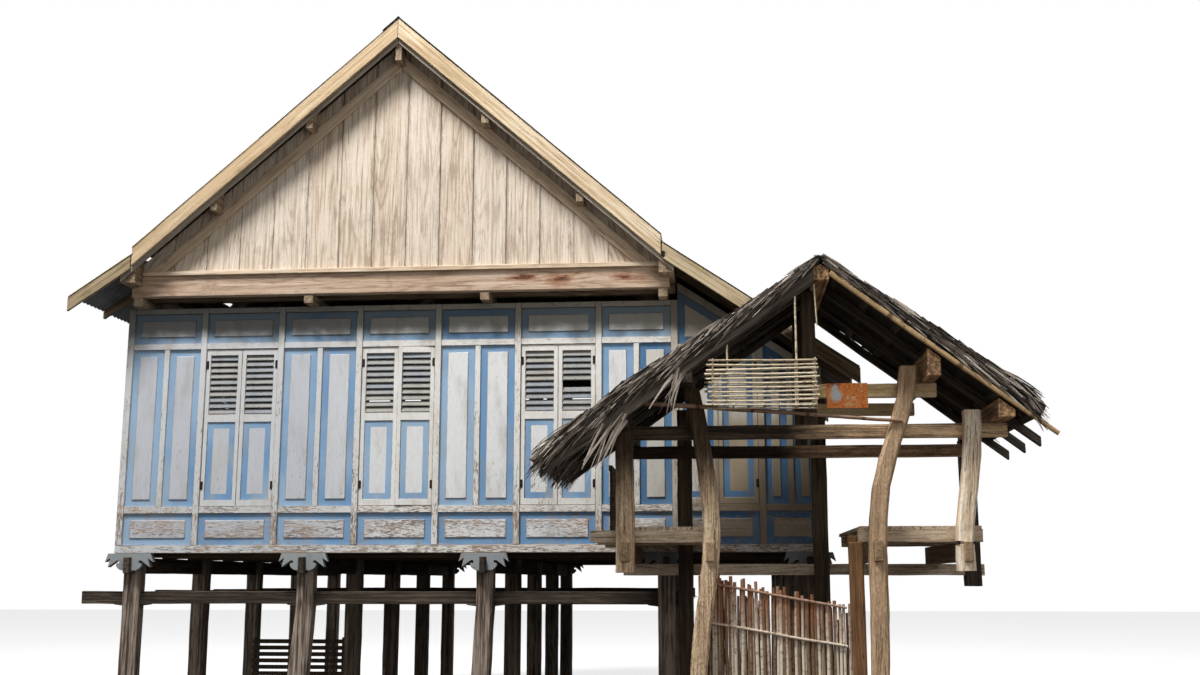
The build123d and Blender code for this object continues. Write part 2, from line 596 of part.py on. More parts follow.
def gables():
    beam = block((-GABLE_BEAM_END, GABLE_BEAM_END),
                 (GABLE_FRONT, GABLE_FRONT + GABLE_BEAM_THICK), (PLATE_TOP, GABLE_BEAM_TOP))
    for bar in pieces["ridge_and_purlins"]:
        beam -= bar
    put("gable_beams", beam, to_back(beam))
    face_y = GABLE_FRONT + GABLE_BOARD[0]
    board_y = (face_y, GABLE_FRONT + GABLE_BOARD[1])
    top = RAFTER_DEPTH + 2
    reach = EAVE_PURLIN_X[0]
    wall = slab_xz([(-reach, GABLE_BEAM_TOP), (reach, GABLE_BEAM_TOP), (reach, main_z(reach, top)),
                    (0, main_z(0, top)), (-reach, main_z(reach, top))], board_y)
    for bar in pieces["ridge_and_purlins"]:
        wall -= bar
    front = wall.solids().sort_by(SortBy.VOLUME)[-1]
    put("front_gable_wall", front)
    put("back_gable_wall", to_back(front))
    ledge_end = reach - 10
    ledge = block((-ledge_end, ledge_end), (face_y - LEDGE_OUT, face_y),
                  (GABLE_BEAM_TOP, GABLE_BEAM_TOP + LEDGE_HEIGHT))
    foot = GABLE_BEAM_TOP + LEDGE_HEIGHT + 3
    slope = math.tan(math.radians(PITCH))
    outline = [(3, main_z(3, RAKE_TRIM[0])), ((main_z(0, RAKE_TRIM[0]) - foot) / slope, foot),
               ((main_z(0, RAKE_TRIM[1]) - foot) / slope, foot), (3, main_z(3, RAKE_TRIM[1]))]
    trim = slab_xz(outline, (GABLE_FRONT - TRIM_PROUD, face_y))
    for bar in pieces["ridge_and_purlins"]:
        trim -= bar
    trim = trim.solids().sort_by(SortBy.VOLUME)[-1]
    for piece in (ledge, trim, mirrored_x(trim)):
        put("gable_trims", piece, to_back(piece))


# Porch

def crooked_post(path, wide, deep, y):
    """A post hewn along a bent line, with level sections at even steps of the line."""
    line = Spline(*path)
    middles = [line @ (k / POST_STEPS) for k in range(POST_STEPS + 1)]
    return loft([Pos(p.X, y, p.Y) * hewn_section(wide, deep) for p in middles], ruled=True)


def joist_mortise(x, y):
    half = PORCH_JOIST_WIDE / 2
    deep = PORCH_POST_DEEP
    return block((x - half, x + half), (y - deep, y + deep), PORCH_JOIST)


def porch_posts():
    y = PORCH_FRONT
    deep = PORCH_POST_DEEP
    height = POST_A[1] - POST_A[0]
    posts = [
        Pos(POST_A_X, y, POST_A[0]) * extrude(hewn_section(POST_A_WIDE, deep), amount=height),
        crooked_post(POST_B, POST_B_WIDE, deep, y),
        crooked_post(POST_C, POST_C_WIDE, deep, y),
        crooked_post(POST_D, POST_D_WIDE, deep, y),
    ]
    for x, post in zip(JOIST_X, posts):
        put("porch_posts", post - joist_mortise(x, y))
    half = REAR_POST / 2
    across = (PORCH_REAR - half, PORCH_REAR + half)
    for x, foot, top in REAR_POSTS:
        post = block((x - half, x + half), across, (foot, top))
        put("porch_rear_posts", post - rear_bearer())


def rear_bearer():
    half = REAR_BEARER_THICK / 2
    return block(REAR_BEARER_X, (PORCH_REAR - half, PORCH_REAR + half), REAR_BEARER)


def porch_floor():
    half = PORCH_JOIST_WIDE / 2
    for x in JOIST_X:
        put("porch_joists", block((x - half, x + half), (PORCH_JOIST_FRONT, PORCH_INNER_END),
                                  PORCH_JOIST))
    put("porch_bearers", rear_bearer())
    for x in BENCH_BEARER_X:
        for y in BENCH_BEARER_Y:
            put("porch_bearers", block(x, y, (PORCH_JOIST[1], BEARER_TOP)))
    layer = (BEARER_TOP, PORCH_FLOOR_TOP)
    half = REAR_POST / 2 + PLANK_GAP
    rear_post = block((POST_E_X - half, POST_E_X + half), (PORCH_REAR - half, PORCH_REAR + half),
                      layer)
    for start, end in BENCH_X:
        width = (end - start) / BENCH_PLANKS
        for k in range(BENCH_PLANKS):
            x = (start + k * width, start + (k + 1) * width - PLANK_GAP)
            plank = block(x, (PORCH_BACK, PORCH_INNER_END), layer)
            put("porch_floor_planks", plank - rear_post)


def porch_frame():
    """Front and rear frames: a tie beam, a king post on it and a short tie beside that."""
    rear = PORCH_REAR - REAR_POST / 2
    front_y, rear_y = (PORCH_BACK, PORCH_BACK + FRAME_THICK), (rear - REAR_BEARER_THICK, rear)
    for x, y, tie in ((TIE_X, front_y, PORCH_TIE), (REAR_TIE_X, rear_y, REAR_TIE)):
        put("porch_tie_beams", block(x, y, tie))
        put("porch_king_posts", block(KING_X, y, (tie[1], RIDGE_BAR_FOOT)))
        put("porch_tie_beams", block((KING_X[1], UPPER_TIE_END), y, UPPER_TIE))


def left_z(x, depth=0):
    """Height of a line below the top of the porch's left rafters."""
    slope = math.atan(LEFT_RAFTER_SLOPE)
    return (LEFT_RAFTER_TOP - LEFT_RAFTER_SLOPE * (PORCH_RIDGE_X - x)
            - depth / math.cos(slope))


def right_z(x, depth=0):
    """The same for its steeper right rafters."""
    slope = math.atan(RIGHT_RAFTER_SLOPE)
    return (RIGHT_RAFTER_TOP - RIGHT_RAFTER_SLOPE * (x - PORCH_RIDGE_X)
            - depth / math.cos(slope))


def porch_roof_frame():
    plate_y = (RAKE_POLE[2][1], PORCH_ROOF_REAR - 10)
    left_edge, right_edge = RIDGE_BAR_X
    ridge = [(left_edge, RIDGE_BAR_FOOT), (right_edge, RIDGE_BAR_FOOT),
             (right_edge, right_z(right_edge)), (PORCH_RIDGE_X, right_z(PORCH_RIDGE_X)),
             (left_edge, left_z(left_edge))]
    put("porch_plates", slab_xz(ridge, plate_y))
    for plates, line in ((LEFT_PLATES, left_z), (RIGHT_PLATES, right_z)):
        for start, end, foot in plates:
            plate = [(start, foot), (end, foot), (end, line(end, PORCH_RAFTER)),
                     (start, line(start, PORCH_RAFTER))]
            put("porch_plates", slab_xz(plate, plate_y))
    end, depth, y = RAKE_POLE
    put("porch_rafters", slab_xz(sloped_band(left_z, end, left_edge, 0, depth), y))
    for y in RAFTER_Y:
        left = sloped_band(left_z, LEFT_RAFTER_END, left_edge, 0, PORCH_RAFTER)
        right = sloped_band(right_z, right_edge, RIGHT_RAFTER_END, 0, PORCH_RAFTER)
        put("porch_rafters", slab_xz(left, (y, y + RAFTER_THICK)),
            slab_xz(right, (y, y + RAFTER_THICK)))
    end, depth, y = EAVE_POLE
    put("porch_rafters", slab_xz(sloped_band(right_z, right_edge, end, 0, depth), y))
    batten_y = (PORCH_ROOF_FRONT + 3, PORCH_ROOF_REAR - 5)
    for line, battens in ((left_z, LEFT_BATTENS), (right_z, RIGHT_BATTENS)):
        start, step, count = battens
        for k in range(count):
            x = start + step * k
            outline = sloped_band(line, x - BATTEN_WIDE / 2, x + BATTEN_WIDE / 2, -BATTEN, 0)
            put("porch_battens", slab_xz(outline, batten_y))


def porch_thatch():
    cover = (PORCH_ROOF_FRONT, PORCH_ROOF_REAR)
    lift = BATTEN + 1
    left = [(PORCH_RIDGE_X - 2, left_z(PORCH_RIDGE_X - 2, -lift)),
            (PORCH_RIDGE_X - 2, PORCH_RIDGE_Z), *LEFT_THATCH_TOP,
            (LEFT_THATCH_FOOT, left_z(LEFT_THATCH_FOOT, -lift))]
    put("thatch_left", slab_xz(left, cover))
    right = [(PORCH_RIDGE_X + 2, right_z(PORCH_RIDGE_X + 2, -lift)),
             (PORCH_RIDGE_X + 2, PORCH_RIDGE_Z), *RIGHT_THATCH_TOP,
             (RIGHT_THATCH_FOOT, right_z(RIGHT_THATCH_FOOT, -lift))]
    put("thatch_right", slab_xz(right, cover))


# Smaller pieces of the porch and the space under the house

def bamboo_fence():
    """Split pickets of uneven height, fused to the laths they are tied to."""
    end = FENCE_START + FENCE_PITCH * (FENCE_COUNT - 1)
    back, front, deep = PICKET
    split = make_face(Polyline((-back, deep), (back, deep), (front, -deep), (-front, -deep),
                               close=True))
    fence = None
    for k in range(FENCE_COUNT):
        x = FENCE_START + FENCE_PITCH * k
        top = FENCE_TOP - FENCE_FALL * k + FENCE_RAGGED * math.sin(k * 2.4)
        picket = Pos(x, FENCE_Y, 0) * extrude(split, amount=top)
        fence = picket if fence is None else fence + picket
    for z in FENCE_LATH_Z:
        fence += block((FENCE_START - 20, end + 20), (FENCE_Y + 8, FENCE_Y + 22),
                       (z, z + FENCE_LATH))
    put("bamboo_fence", fence)


def notched_post():
    """A square post beside the fence, with a notch in its head for the bearer's end."""
    front, back, notch = PORCH_BACK - 5, PORCH_BACK + 95, PORCH_BACK + 72
    top = NOTCHED_POST_TOP
    outline = [(front, 0), (back, 0), (back, top), (notch, top), (notch, PORCH_JOIST[1]),
               (front, PORCH_JOIST[1])]
    put("notched_post", slab_yz(outline, NOTCHED_POST_X))


def bamboo_rack():
    """A hanging rack of split bamboo: slats on uprights, two of which reach the rafter."""
    front, rear = RACK_Y
    thick, height = RACK_SLAT
    depth = (front + UPRIGHT, rear - UPRIGHT)
    for k in range(RACK_ROWS):
        z = (RACK_FOOT + RACK_PITCH * k, RACK_FOOT + RACK_PITCH * k + height)
        for y in ((front - thick, front), (rear, rear + thick)):
            put("rack_slats", block(RACK_X, y, z))
        for end in (UPRIGHT_X[0], UPRIGHT_X[-1]):
            put("rack_slats", block((end, end + UPRIGHT), depth, z))
    for left, top in zip(UPRIGHT_X, UPRIGHT_TOPS):
        x = (left, left + UPRIGHT)
        put("rack_uprights", block(x, (front, front + UPRIGHT), (RACK_FOOT, top)))
        put("rack_uprights", block(x, (rear - UPRIGHT, rear), (RACK_FOOT, UPRIGHT_TOPS[0])))
    for left in UPRIGHT_X[1:3]:
        put("rack_slats", block((left, left + UPRIGHT), depth, (RACK_FOOT, RACK_FOOT + UPRIGHT)))


def small_pieces():
    plate = block(RUSTY_PLATE_X, (PORCH_BACK - 4, PORCH_BACK), RUSTY_PLATE_Z)
    put("rusty_plate", plate)
    y = PORCH_FRONT - PORCH_POST_DEEP / 2 - POLE_RADIUS
    (left, left_height), (right, right_height) = POLE_ENDS
    put("lashed_pole", pole((left, y, left_height), (right, y, right_height), POLE_RADIUS))


def side_railing():
    """A rail on flat balusters that stand on the outer edge of the left bench."""
    start = PORCH_BACK + 100
    rail = block(RAILING_X, (start - 20, PORCH_REAR - 100), RAILING_Z)
    for k in range(BALUSTERS):
        y = start + BALUSTER_PITCH * k
        rail += block(BALUSTER_X, (y, y + BALUSTER_WIDE), (BEARER_TOP - 30, RAILING_Z[0] + 10))
    put("side_railing", rail)


def slat_screen():
    """Level slats on three stakes beside the space under the house."""
    face, back = SCREEN_Y
    screen = None
    for x in STAKE_X:
        stake = block((x, x + STAKE), (face + 15, back), (0, SCREEN_TOP))
        screen = stake if screen is None else screen + stake
    for k in range(SCREEN_SLATS):
        foot = SCREEN_FOOT + SCREEN_PITCH * k
        screen += block((STAKE_X[0] - 10, STAKE_X[-1] + STAKE + 4), (face, face + 16),
                        (foot, foot + SCREEN_SLAT))
    put("slat_screen", screen)


def save_all():
    """Centre the house over the origin and write one file for each piece."""
    everything = Compound([solid for solids in pieces.values() for solid in solids])
    box = everything.bounding_box()
    middle = box.center()
    print("middle of the footprint", round(middle.X, 2), round(middle.Y, 2), box.size)
    os.makedirs("parts", exist_ok=True)
    for name, solids in pieces.items():
        moved = [solid.moved(Location((-middle.X, -middle.Y, -box.min.Z))) for solid in solids]
        export_step(Compound(moved), "parts/" + name + ".step")


understructure()
walls()
roof_frame()
roof_cover()
gables()
porch_posts()
porch_floor()
porch_frame()
porch_roof_frame()
porch_thatch()
bamboo_fence()
notched_post()
bamboo_rack()
small_pieces()
side_railing()
slat_screen()
save_all()
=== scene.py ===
import json
import math
import random

import bmesh
import bpy
import numpy as np
from mathutils import Matrix, Vector, noise


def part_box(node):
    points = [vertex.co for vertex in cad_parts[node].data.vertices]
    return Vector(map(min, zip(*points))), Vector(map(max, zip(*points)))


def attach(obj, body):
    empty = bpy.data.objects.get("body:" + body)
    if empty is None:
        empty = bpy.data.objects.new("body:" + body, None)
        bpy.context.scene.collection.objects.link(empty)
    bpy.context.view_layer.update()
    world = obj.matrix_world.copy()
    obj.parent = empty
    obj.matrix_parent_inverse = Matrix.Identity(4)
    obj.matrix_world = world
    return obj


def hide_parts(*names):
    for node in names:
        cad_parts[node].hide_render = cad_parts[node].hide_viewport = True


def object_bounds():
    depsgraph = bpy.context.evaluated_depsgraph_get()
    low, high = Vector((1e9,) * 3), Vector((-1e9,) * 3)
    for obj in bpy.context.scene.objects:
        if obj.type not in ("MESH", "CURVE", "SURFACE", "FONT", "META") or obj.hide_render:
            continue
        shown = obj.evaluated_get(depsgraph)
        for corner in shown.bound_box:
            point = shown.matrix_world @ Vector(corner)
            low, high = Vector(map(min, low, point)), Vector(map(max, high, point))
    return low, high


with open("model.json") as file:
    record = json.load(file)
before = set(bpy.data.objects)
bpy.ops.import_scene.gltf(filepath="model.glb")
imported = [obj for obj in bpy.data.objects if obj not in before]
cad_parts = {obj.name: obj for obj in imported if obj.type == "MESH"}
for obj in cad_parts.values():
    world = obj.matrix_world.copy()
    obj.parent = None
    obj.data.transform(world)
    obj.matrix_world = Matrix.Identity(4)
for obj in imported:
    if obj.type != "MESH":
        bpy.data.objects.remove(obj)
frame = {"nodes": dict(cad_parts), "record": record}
cad_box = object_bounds()
# Blender seeds this noise by the clock unless it is told a number
noise.seed_set(1)

# Lengths are in metres. X runs along the front to the right, Y into the house, Z up

# The camera that took the photograph, with its tilt and turn in degrees
PHOTO_WIDTH, FOCAL_PX, SENSOR = 1200, 1326, 36
CAMERA_AT, PITCH_UP, TURN_LEFT = (1.67, -13.94, 1.60), 10.4, 5.0

# The lamps: place, aim, diameter and power
LAMPS = {"key_light": ((-4.0, -9.0, 17.5), (0.2, -1.5, 3.0), 3.6, 4150),
         "fill_light": ((6.5, -15.0, 5.0), (0.5, -2.5, 2.6), 8.0, 170)}
SKY_LOW, SKY_RISE = 0.17, 0.43
FLOOR_REACH, FLOOR_DROP, FLOOR_GLOW = 60, 0.001, 0.34

# Painted shade and painted light on bare wood: SHADED_ tones darken post heads under the floor and
# the thatch,
# LIT_ tones lighten the porch beams' right ends. Each is the axis, where the change starts and ends,
# and what multiplies the colour beyond it
SHADED_HEAD = (2, 1.72, 1.98, (0.42, 0.40, 0.37))
SHADED_TOP = (2, 2.12, 2.54, (0.12, 0.105, 0.09))
LIT_END = (0, 2.15, 2.5, (11.0, 10.6, 10.2))
LIT_PLATE = (0, 2.15, 2.5, (7.6, 6.4, 5.0))
# Painted shade of the overhang on the top row of panels: the heights where it starts and is full,
# and how much
ROW_SHADE, ROW_SHADE_TINT = (3.68, 3.86), (0.30, 0.29, 0.26)
# The left bay is duller up to these X: painted shade of a tree. The aisle is browner and darker
# right of, below and behind these: partly its own brown paint, partly painted shade under the porch
SHADED_LEFT_BAY = (-2.2, -0.9)
SHADED_CORNER_FROM, SHADED_CORNER_TOP, SHADED_CORNER_DEPTH = 1.52, 3.00, (-1.5, -2.0)
# Heights between which paint gets more worn downwards, and those just over the sill
WEAR, SILL_WEAR = (3.5, 2.3), (2.32, 2.14)
KNOTS = ((0.34, 4.235), (0.90, 4.228), (-0.02, 4.245))
ROT_HOLE = (1.225, 4.384)
SEAM_TINT = (0.76, 0.68, 0.60)

# Shares and widths of a window leaf, as in the solid
LEAF_STILE, LEAF_RAIL = 0.038, 0.055
LEAF_PANEL_TOP, LEAF_BORDER = 0.53, 0.054

# Slopes of the roofs
MAIN_SLOPE, SKIRT_SLOPE = [math.tan(math.radians(pitch)) for pitch in (41.3, 34.1)]

# Gable planks, and the strips over their joints
PLANK, PLANK_FROM, PLANK_COUNT = 0.305, -1.081, 17
STRIP, STRIP_HALF = 0.008, 0.03

# Corrugated sheets and ridge caps
WAVE, WAVE_DEPTH, SHEET_COVER = 0.076, 0.017, 0.76
SHEET_COLUMNS, SHEET_ROWS = 67, 9
COURSE_LAP, RIDGE_DROP, RIDGE_SET = 0.16, 0.01, 0.012
CAP_COUNT, CAP_LAP, CAP_THICK = 5, 0.12, 0.001

# Hinges, and how far from a leaf's edge and how high on it they sit
HINGE_TALL, HINGE_SET, HINGE_SHARES = 0.075, 0.006, (0.13, 0.90)

# Porch posts get paler from left to right. The cord's turns each have a lift and a lean
PALE_FROM, PALER_FROM = 2.1, 3.2
CORD_AT, CORD_RADIUS, CORD_TURNS = 1.86, 0.007, ((0.0, 0.012), (0.014, -0.008))

# Fence and rack: how many sticks, and how much lower each picket's head is than the last
PICKETS, PICKET_HALF, PICKETS_BEHIND, HEADS_FALL = 42, 0.014, 38, 0.0059
RACK_ROWS, RACK_FLOOR = 11, 7
# Two radii and a seed for sticks that stand alone
HANGING_STICK, RED_POLE, RAKE_POLE = (0.007, 0.005, 0.4), (0.019, 0.012, 0.3), (0.022, 0.017, 0.62)


def make_camera():
    lens = bpy.data.cameras.new("camera")
    lens.sensor_width = SENSOR
    lens.lens = FOCAL_PX / PHOTO_WIDTH * SENSOR
    camera = bpy.data.objects.new("camera", lens)
    camera.location = CAMERA_AT
    camera.rotation_euler = (math.radians(90 + PITCH_UP), 0, math.radians(TURN_LEFT))
    bpy.context.scene.collection.objects.link(camera)
    bpy.context.scene.camera = camera


make_camera()


# Node graphs as Python expressions

class Value:
    """A socket that takes part in sums: each operator or method adds its node."""

    def __init__(self, graph, socket):
        self.graph, self.socket = graph, socket

    def math(self, operation, other, swapped=False):
        first, second = (other, self) if swapped else (self, other)
        return self.graph.node("ShaderNodeMath", {"operation": operation},
                               {0: first, 1: second})

    __add__ = __radd__ = lambda self, other: self.math("ADD", other)
    __mul__ = __rmul__ = lambda self, other: self.math("MULTIPLY", other)
    __sub__ = lambda self, other: self.math("SUBTRACT", other)
    __rsub__ = lambda self, other: self.math("SUBTRACT", other, swapped=True)
    __truediv__ = lambda self, other: self.math("DIVIDE", other)
    __pow__ = lambda self, other: self.math("POWER", other)
    __abs__ = lambda self: self.one("ABSOLUTE")

    def one(self, operation):
        return self.graph.node("ShaderNodeMath", {"operation": operation}, {0: self})

    def vector(self, operation, other):
        return self.graph.node("ShaderNodeVectorMath", {"operation": operation},
                               {0: self, 1: other})

    def tinted(self, tint):
        return self.vector("MULTIPLY", tint)

    def parts(self):
        split = self.graph.node("ShaderNodeSeparateXYZ", inputs={0: self}).socket.node
        return [Value(self.graph, socket) for socket in split.outputs]

    def step(self, low, high):
        """0 at low, 1 at high, smooth between."""
        return self.graph.node("ShaderNodeMapRange", {"interpolation_type": "SMOOTHSTEP"},
                               {0: self, 1: low, 2: high, 3: 0.0, 4: 1.0})

    def ridge(self, width):
        """1 where the value crosses 0.5, in a line about as wide as width."""
        return abs(self - 0.5).step(width, 0.0)

    def clouds(self, scale, detail=2.0, roughness=0.5, distortion=0.0, output=0):
        """Noise over the vector stretched by scale, from 0 to 1 with most of it near 0.5."""
        scale = scale if isinstance(scale, tuple) else (scale,) * 3
        return self.graph.node("ShaderNodeTexNoise", inputs={
            "Vector": self.tinted(scale), "Scale": 1.0, "Detail": detail,
            "Roughness": roughness, "Distortion": distortion}, output=output)


class Graph:
    """A node tree with one way to add a node: settings first, then values or links."""

    def __init__(self, tree):
        self.tree = tree

    def node(self, kind, settings=None, inputs=None, output=0):
        made = self.tree.nodes.new(kind)
        for name, value in (settings or {}).items():
            setattr(made, name, value)
        self.fill(made, inputs or {})
        return Value(self, made.outputs[output]) if made.outputs else made

    def fill(self, node, inputs):
        for key, value in inputs.items():
            if isinstance(value, Value):
                self.tree.links.new(value.socket, node.inputs[key])
            else:
                node.inputs[key].default_value = value

    def joined(self, x, y, z):
        return self.node("ShaderNodeCombineXYZ", inputs={0: x, 1: y, 2: z})


def colour(code):
    """A linear colour from the six digits of a screen colour; anything else as it is."""
    if not isinstance(code, str):
        return code
    levels = [int(code[k:k + 2], 16) / 255 for k in (0, 2, 4)]
    linear = [c / 12.92 if c <= 0.04045 else ((c + 0.055) / 1.055) ** 2.4 for c in levels]
    return (*linear, 1.0)


def mix(first, second, factor):
    """The first colour where the factor is 0, the second where it is 1."""
    return factor.graph.node("ShaderNodeMix", {"data_type": "RGBA"},
                             {0: factor, 6: colour(first), 7: colour(second)}, output=2)


class Finish(Graph):
    """A material: reads the object's coordinates and a piece's own attributes."""

    def __init__(self, name):
        self.material = bpy.data.materials.new(name)
        self.material.use_nodes = True
        super().__init__(self.material.node_tree)
        self.tree.nodes.clear()

    def attribute(self, name, output=2):
        return self.node("ShaderNodeAttribute", {"attribute_name": name}, output=output)

    spot = property(lambda self: self.node("ShaderNodeTexCoord", output=3))
    height = property(lambda self: self.spot.parts()[2])
    seed = property(lambda self: self.attribute("seed"))
    place = property(lambda self: self.attribute("place", output=1))
    half = property(lambda self: self.attribute("half", output=1))

    @property
    def grain(self):
        """Lengthwise coordinates, moved to a place of its own in the noise for each board."""
        seed = self.seed
        return self.place.vector("ADD", self.joined(seed * 31.0, seed * 17.0, seed * 53.0))

    def close(self, paint, roughness, height=None, rise=0.004, metal=0.0, sheen=0.3, glow=None):
        inputs = {"Base Color": paint, "Roughness": roughness, "Metallic": metal,
                  "Specular IOR Level": sheen}
        if glow:
            inputs.update({"Emission Color": glow, "Emission Strength": 1.0})
        if height is not None:
            inputs["Normal"] = self.node("ShaderNodeBump", inputs={
                "Strength": 0.7, "Distance": rise, "Height": height})
        shader = self.node("ShaderNodeBsdfPrincipled", inputs=inputs)
        self.node("ShaderNodeOutputMaterial", inputs={0: shader})
        return self.material


# Wood, bare and painted. Four tones are dark, middle, light and the depth of the splits

def wood_layers(finish, tones, rings, cracks):
    """Colour, height and blotches of bare wood with its fibres along the piece."""
    dark, middle, light, split = tones.split()
    grain = finish.grain
    fibres = grain.clouds((6, 260, 260), 2, 0.6)
    streaks = grain.clouds((0.9, 42, 42), 4, 0.62)
    figure = grain.clouds((0.6, 7, 7), 1.5, distortion=0.2)
    bands = ((figure * 70.0).one("SINE") * 0.5 + 0.5) ** 3.0
    blotch = grain.clouds((1.5, 5, 5), 4, 0.6)
    shade = fibres * 0.35 + streaks * 0.55 + blotch * 0.35 - bands * (0.09 * rings)
    base = mix(dark, middle, shade.step(0.49, 0.61))
    base = mix(base, light, (shade + finish.seed * 0.10).step(0.64, 0.79))
    splits = grain.clouds((0.5, 26, 26), 3).ridge(0.012) * blotch.step(0.46, 0.58) * cracks
    base = mix(base, split, splits)
    return base, fibres * 0.4 + streaks * 0.3 - bands * (0.1 * rings) - splits * 1.6, blotch


def bare_timber(name, tones, rings=0.6, cracks=0.8, stain=None, stain_reach=0.5, lichen=None,
                rise=0.004, change=None, rot=None, pits=0.0, seams=0.0, knots=()):
    """Weathered wood; stain darkens patches, lichen dots them, pits fleck it.

    Seams darken the long edges of each board and give every board a tone of its own.
    Knots are places in X and Z with brown wood round them, and rot is that of a hole, a black spot
    that paints the shade of its depth.
    A change paints shade where its factor is below 1 and light where it is above: an axis, where it
    starts and ends, and what the colour is multiplied by there.
    """
    finish = Finish(name)
    dark, _, light, split = tones.split()
    base, height, blotch = wood_layers(finish, tones, rings, cracks)
    grain, spot = finish.grain, finish.spot
    if stain:
        patches = grain.clouds((2.2, 9, 9), 5, 0.65)
        base = mix(base, stain, patches.step(0.66 - 0.2 * stain_reach, 0.80))
    if seams:
        inside = finish.half.parts()[1] - abs(finish.place.parts()[1])
        ragged = (grain.clouds((9, 60, 60), 4, 0.7) - 0.5) * 0.07
        base = mix(base, base.tinted(SEAM_TINT), finish.seed.step(0.25, 0.95) * seams)
        base = mix(base, split, (inside + ragged).step(0.016, -0.004) * seams)
    x, _, z = spot.parts()
    for knot_x, knot_z in knots:
        along, upwards = (x - knot_x) * 0.26, z - knot_z
        swirl = (spot.clouds((5, 5, 22), 4, 0.65) - 0.5) * 0.13
        away = (along * along + upwards * upwards).one("SQRT") + swirl
        base = mix(base, "8a4f2a", away.step(0.060, 0.010) * 0.85)
        base = mix(base, "4a2412", away.step(0.022, 0.004) * 0.9)
    if pits:
        pitted = grain.clouds((38, 125, 125), 4, 0.65)
        base = mix(base, dark, pitted.step(0.50, 0.64) * pits)
        base = mix(base, light, pitted.step(0.46, 0.34) * pits)
        height = height - pitted.step(0.50, 0.64) * 0.5
    base = mix(base, light, finish.attribute("edge") * blotch.step(0.4, 0.6) * 0.7)
    if lichen:
        dots = spot.clouds(26, 4, 0.7) * 0.6 + spot.clouds(2.2) * 0.6
        base = mix(base, lichen, dots.step(0.69, 0.77) * 0.8)
    base = mix(base, split, spot.clouds(3, 5, 0.7).step(0.56, 0.82) * 0.45)
    if change:
        axis, start, end, tint = change
        along = spot.parts()[axis] + (blotch - 0.5) * 0.4
        base = mix(base, base.tinted(tint), along.step(start, end))
    # No hole is cut for the rot: a black spot paints the shade of its depth
    if rot:
        away = ((x - rot[0]) * (x - rot[0]) * 0.4 + (z - rot[1]) * (z - rot[1])).one("SQRT")
        ragged = (spot.clouds(45, 3) - 0.5) * 0.05
        base = mix(base, "0c0907", (away + ragged).step(0.036, 0.026))
    return finish.close(base, 0.78 + 0.15 * blotch, height, rise)


def flaked(finish, paint, loss, streak, earth=0.32):
    """Paint over wood, gone where loss is high: short flecks along the grain and patches."""
    bare, height, _ = wood_layers(finish, PAINTED_WOOD, 0.5, 0.7)
    grain, spot = finish.grain, finish.spot
    flecks, patches = grain.clouds((20, 92, 92), 5, 0.72), grain.clouds((2.2, 9, 9), 3, 0.6)
    worn = finish.attribute("edge") * spot.clouds(9, 3) * 0.30
    gone = (flecks * 0.72 + patches * 0.28 + worn + loss).step(0.612, 0.652)
    ground = spot.clouds((2.6, 2.6, 6.0), 3)
    bare = mix(bare, "b08a66", ground.step(0.62 - earth * 0.4, 0.72) * 0.8)
    grime = spot.clouds((7, 7, 2.0), 5, 0.65)
    painted = mix(paint, streak, grime.step(0.44, 0.78) * 0.55)
    fine = grain.clouds((14, 240, 240), 2)
    painted = mix(painted, PAINTED_WOOD.split()[1], fine.step(0.54, 0.72) * 0.30)
    return mix(painted, bare, gone), (1 - gone) * 0.7 + height * 0.35 * gone, gone


# Painted shade of a tree: 0 on the left bay, 1 past it
def past_shaded_left_bay(finish):
    return finish.spot.parts()[0].step(*SHADED_LEFT_BAY)


def shaded_brown_corner(finish):
    """The part of the aisle wall behind the porch's seat, browner and darker: partly its own brown
    paint, partly painted shade under the porch.
    """
    x, y, z = finish.spot.parts()
    drift = (finish.spot.clouds(4, 3) - 0.5) * 0.3
    return (x.step(SHADED_CORNER_FROM, SHADED_CORNER_FROM + 0.10) * y.step(*SHADED_CORNER_DEPTH)
            * (z + drift).step(SHADED_CORNER_TOP + 0.12, SHADED_CORNER_TOP - 0.12))


# A paint is two tones and where the second one lies. A blue is its fresh and its faded tone
PAINTED_WOOD = "6c5f53 94867a b4a89c 332a23"
# The first tones of CREAM and WHITE are the painted shade on the left bay
CREAM, WHITE = ("c8cacb", "dfddd8", past_shaded_left_bay), ("bbbec4", "dcdddd", past_shaded_left_bay)
# The second tones of AISLE_CREAM and AISLE_WHITE are the corner's brown, partly painted shade
AISLE_CREAM = ("bdb8ac", "968770", shaded_brown_corner)
AISLE_WHITE = ("c9c6bd", "9f9078", shaded_brown_corner)
# The aisle's blues are darker than the front's by a painted shade of the porch roof
BLUES, SHADED_AISLE_BLUES = ("90adc8", "6690b8"), ("5682a8", "3f6b94")
STREAK, AISLE_STREAK = "9a9690", "85765e"


def two_toned(finish, tones):
    first, second, where = tones
    return mix(first, second, where(finish))


def low_wear(finish, most):
    """More loss of paint lower down, and most near the sill."""
    height = finish.height
    return height.step(*WEAR) * 0.034 + height.step(*SILL_WEAR) * most


def shaded_row(finish, paint):
    """The top row, darkened by a painted shade of the overhang above it."""
    patchy = (finish.spot.clouds(5, 4) - 0.5) * 0.3
    return mix(paint, paint.tinted(ROW_SHADE_TINT), (finish.height + patchy).step(*ROW_SHADE))


def frame_paint(name, tones, streak):
    finish = Finish(name)
    loss = low_wear(finish, 0.050) + finish.seed * 0.03 + 0.022
    paint, height, gone = flaked(finish, two_toned(finish, tones), loss, streak, earth=0.35)
    return finish.close(shaded_row(finish, paint), 0.62 + 0.25 * gone, height, 0.0022,
                        sheen=0.35)


def faded_blue(finish, blues):
    fade = finish.spot.clouds(1.4, 3) + finish.seed * 0.45
    return mix(*blues, fade.step(0.50, 0.85))


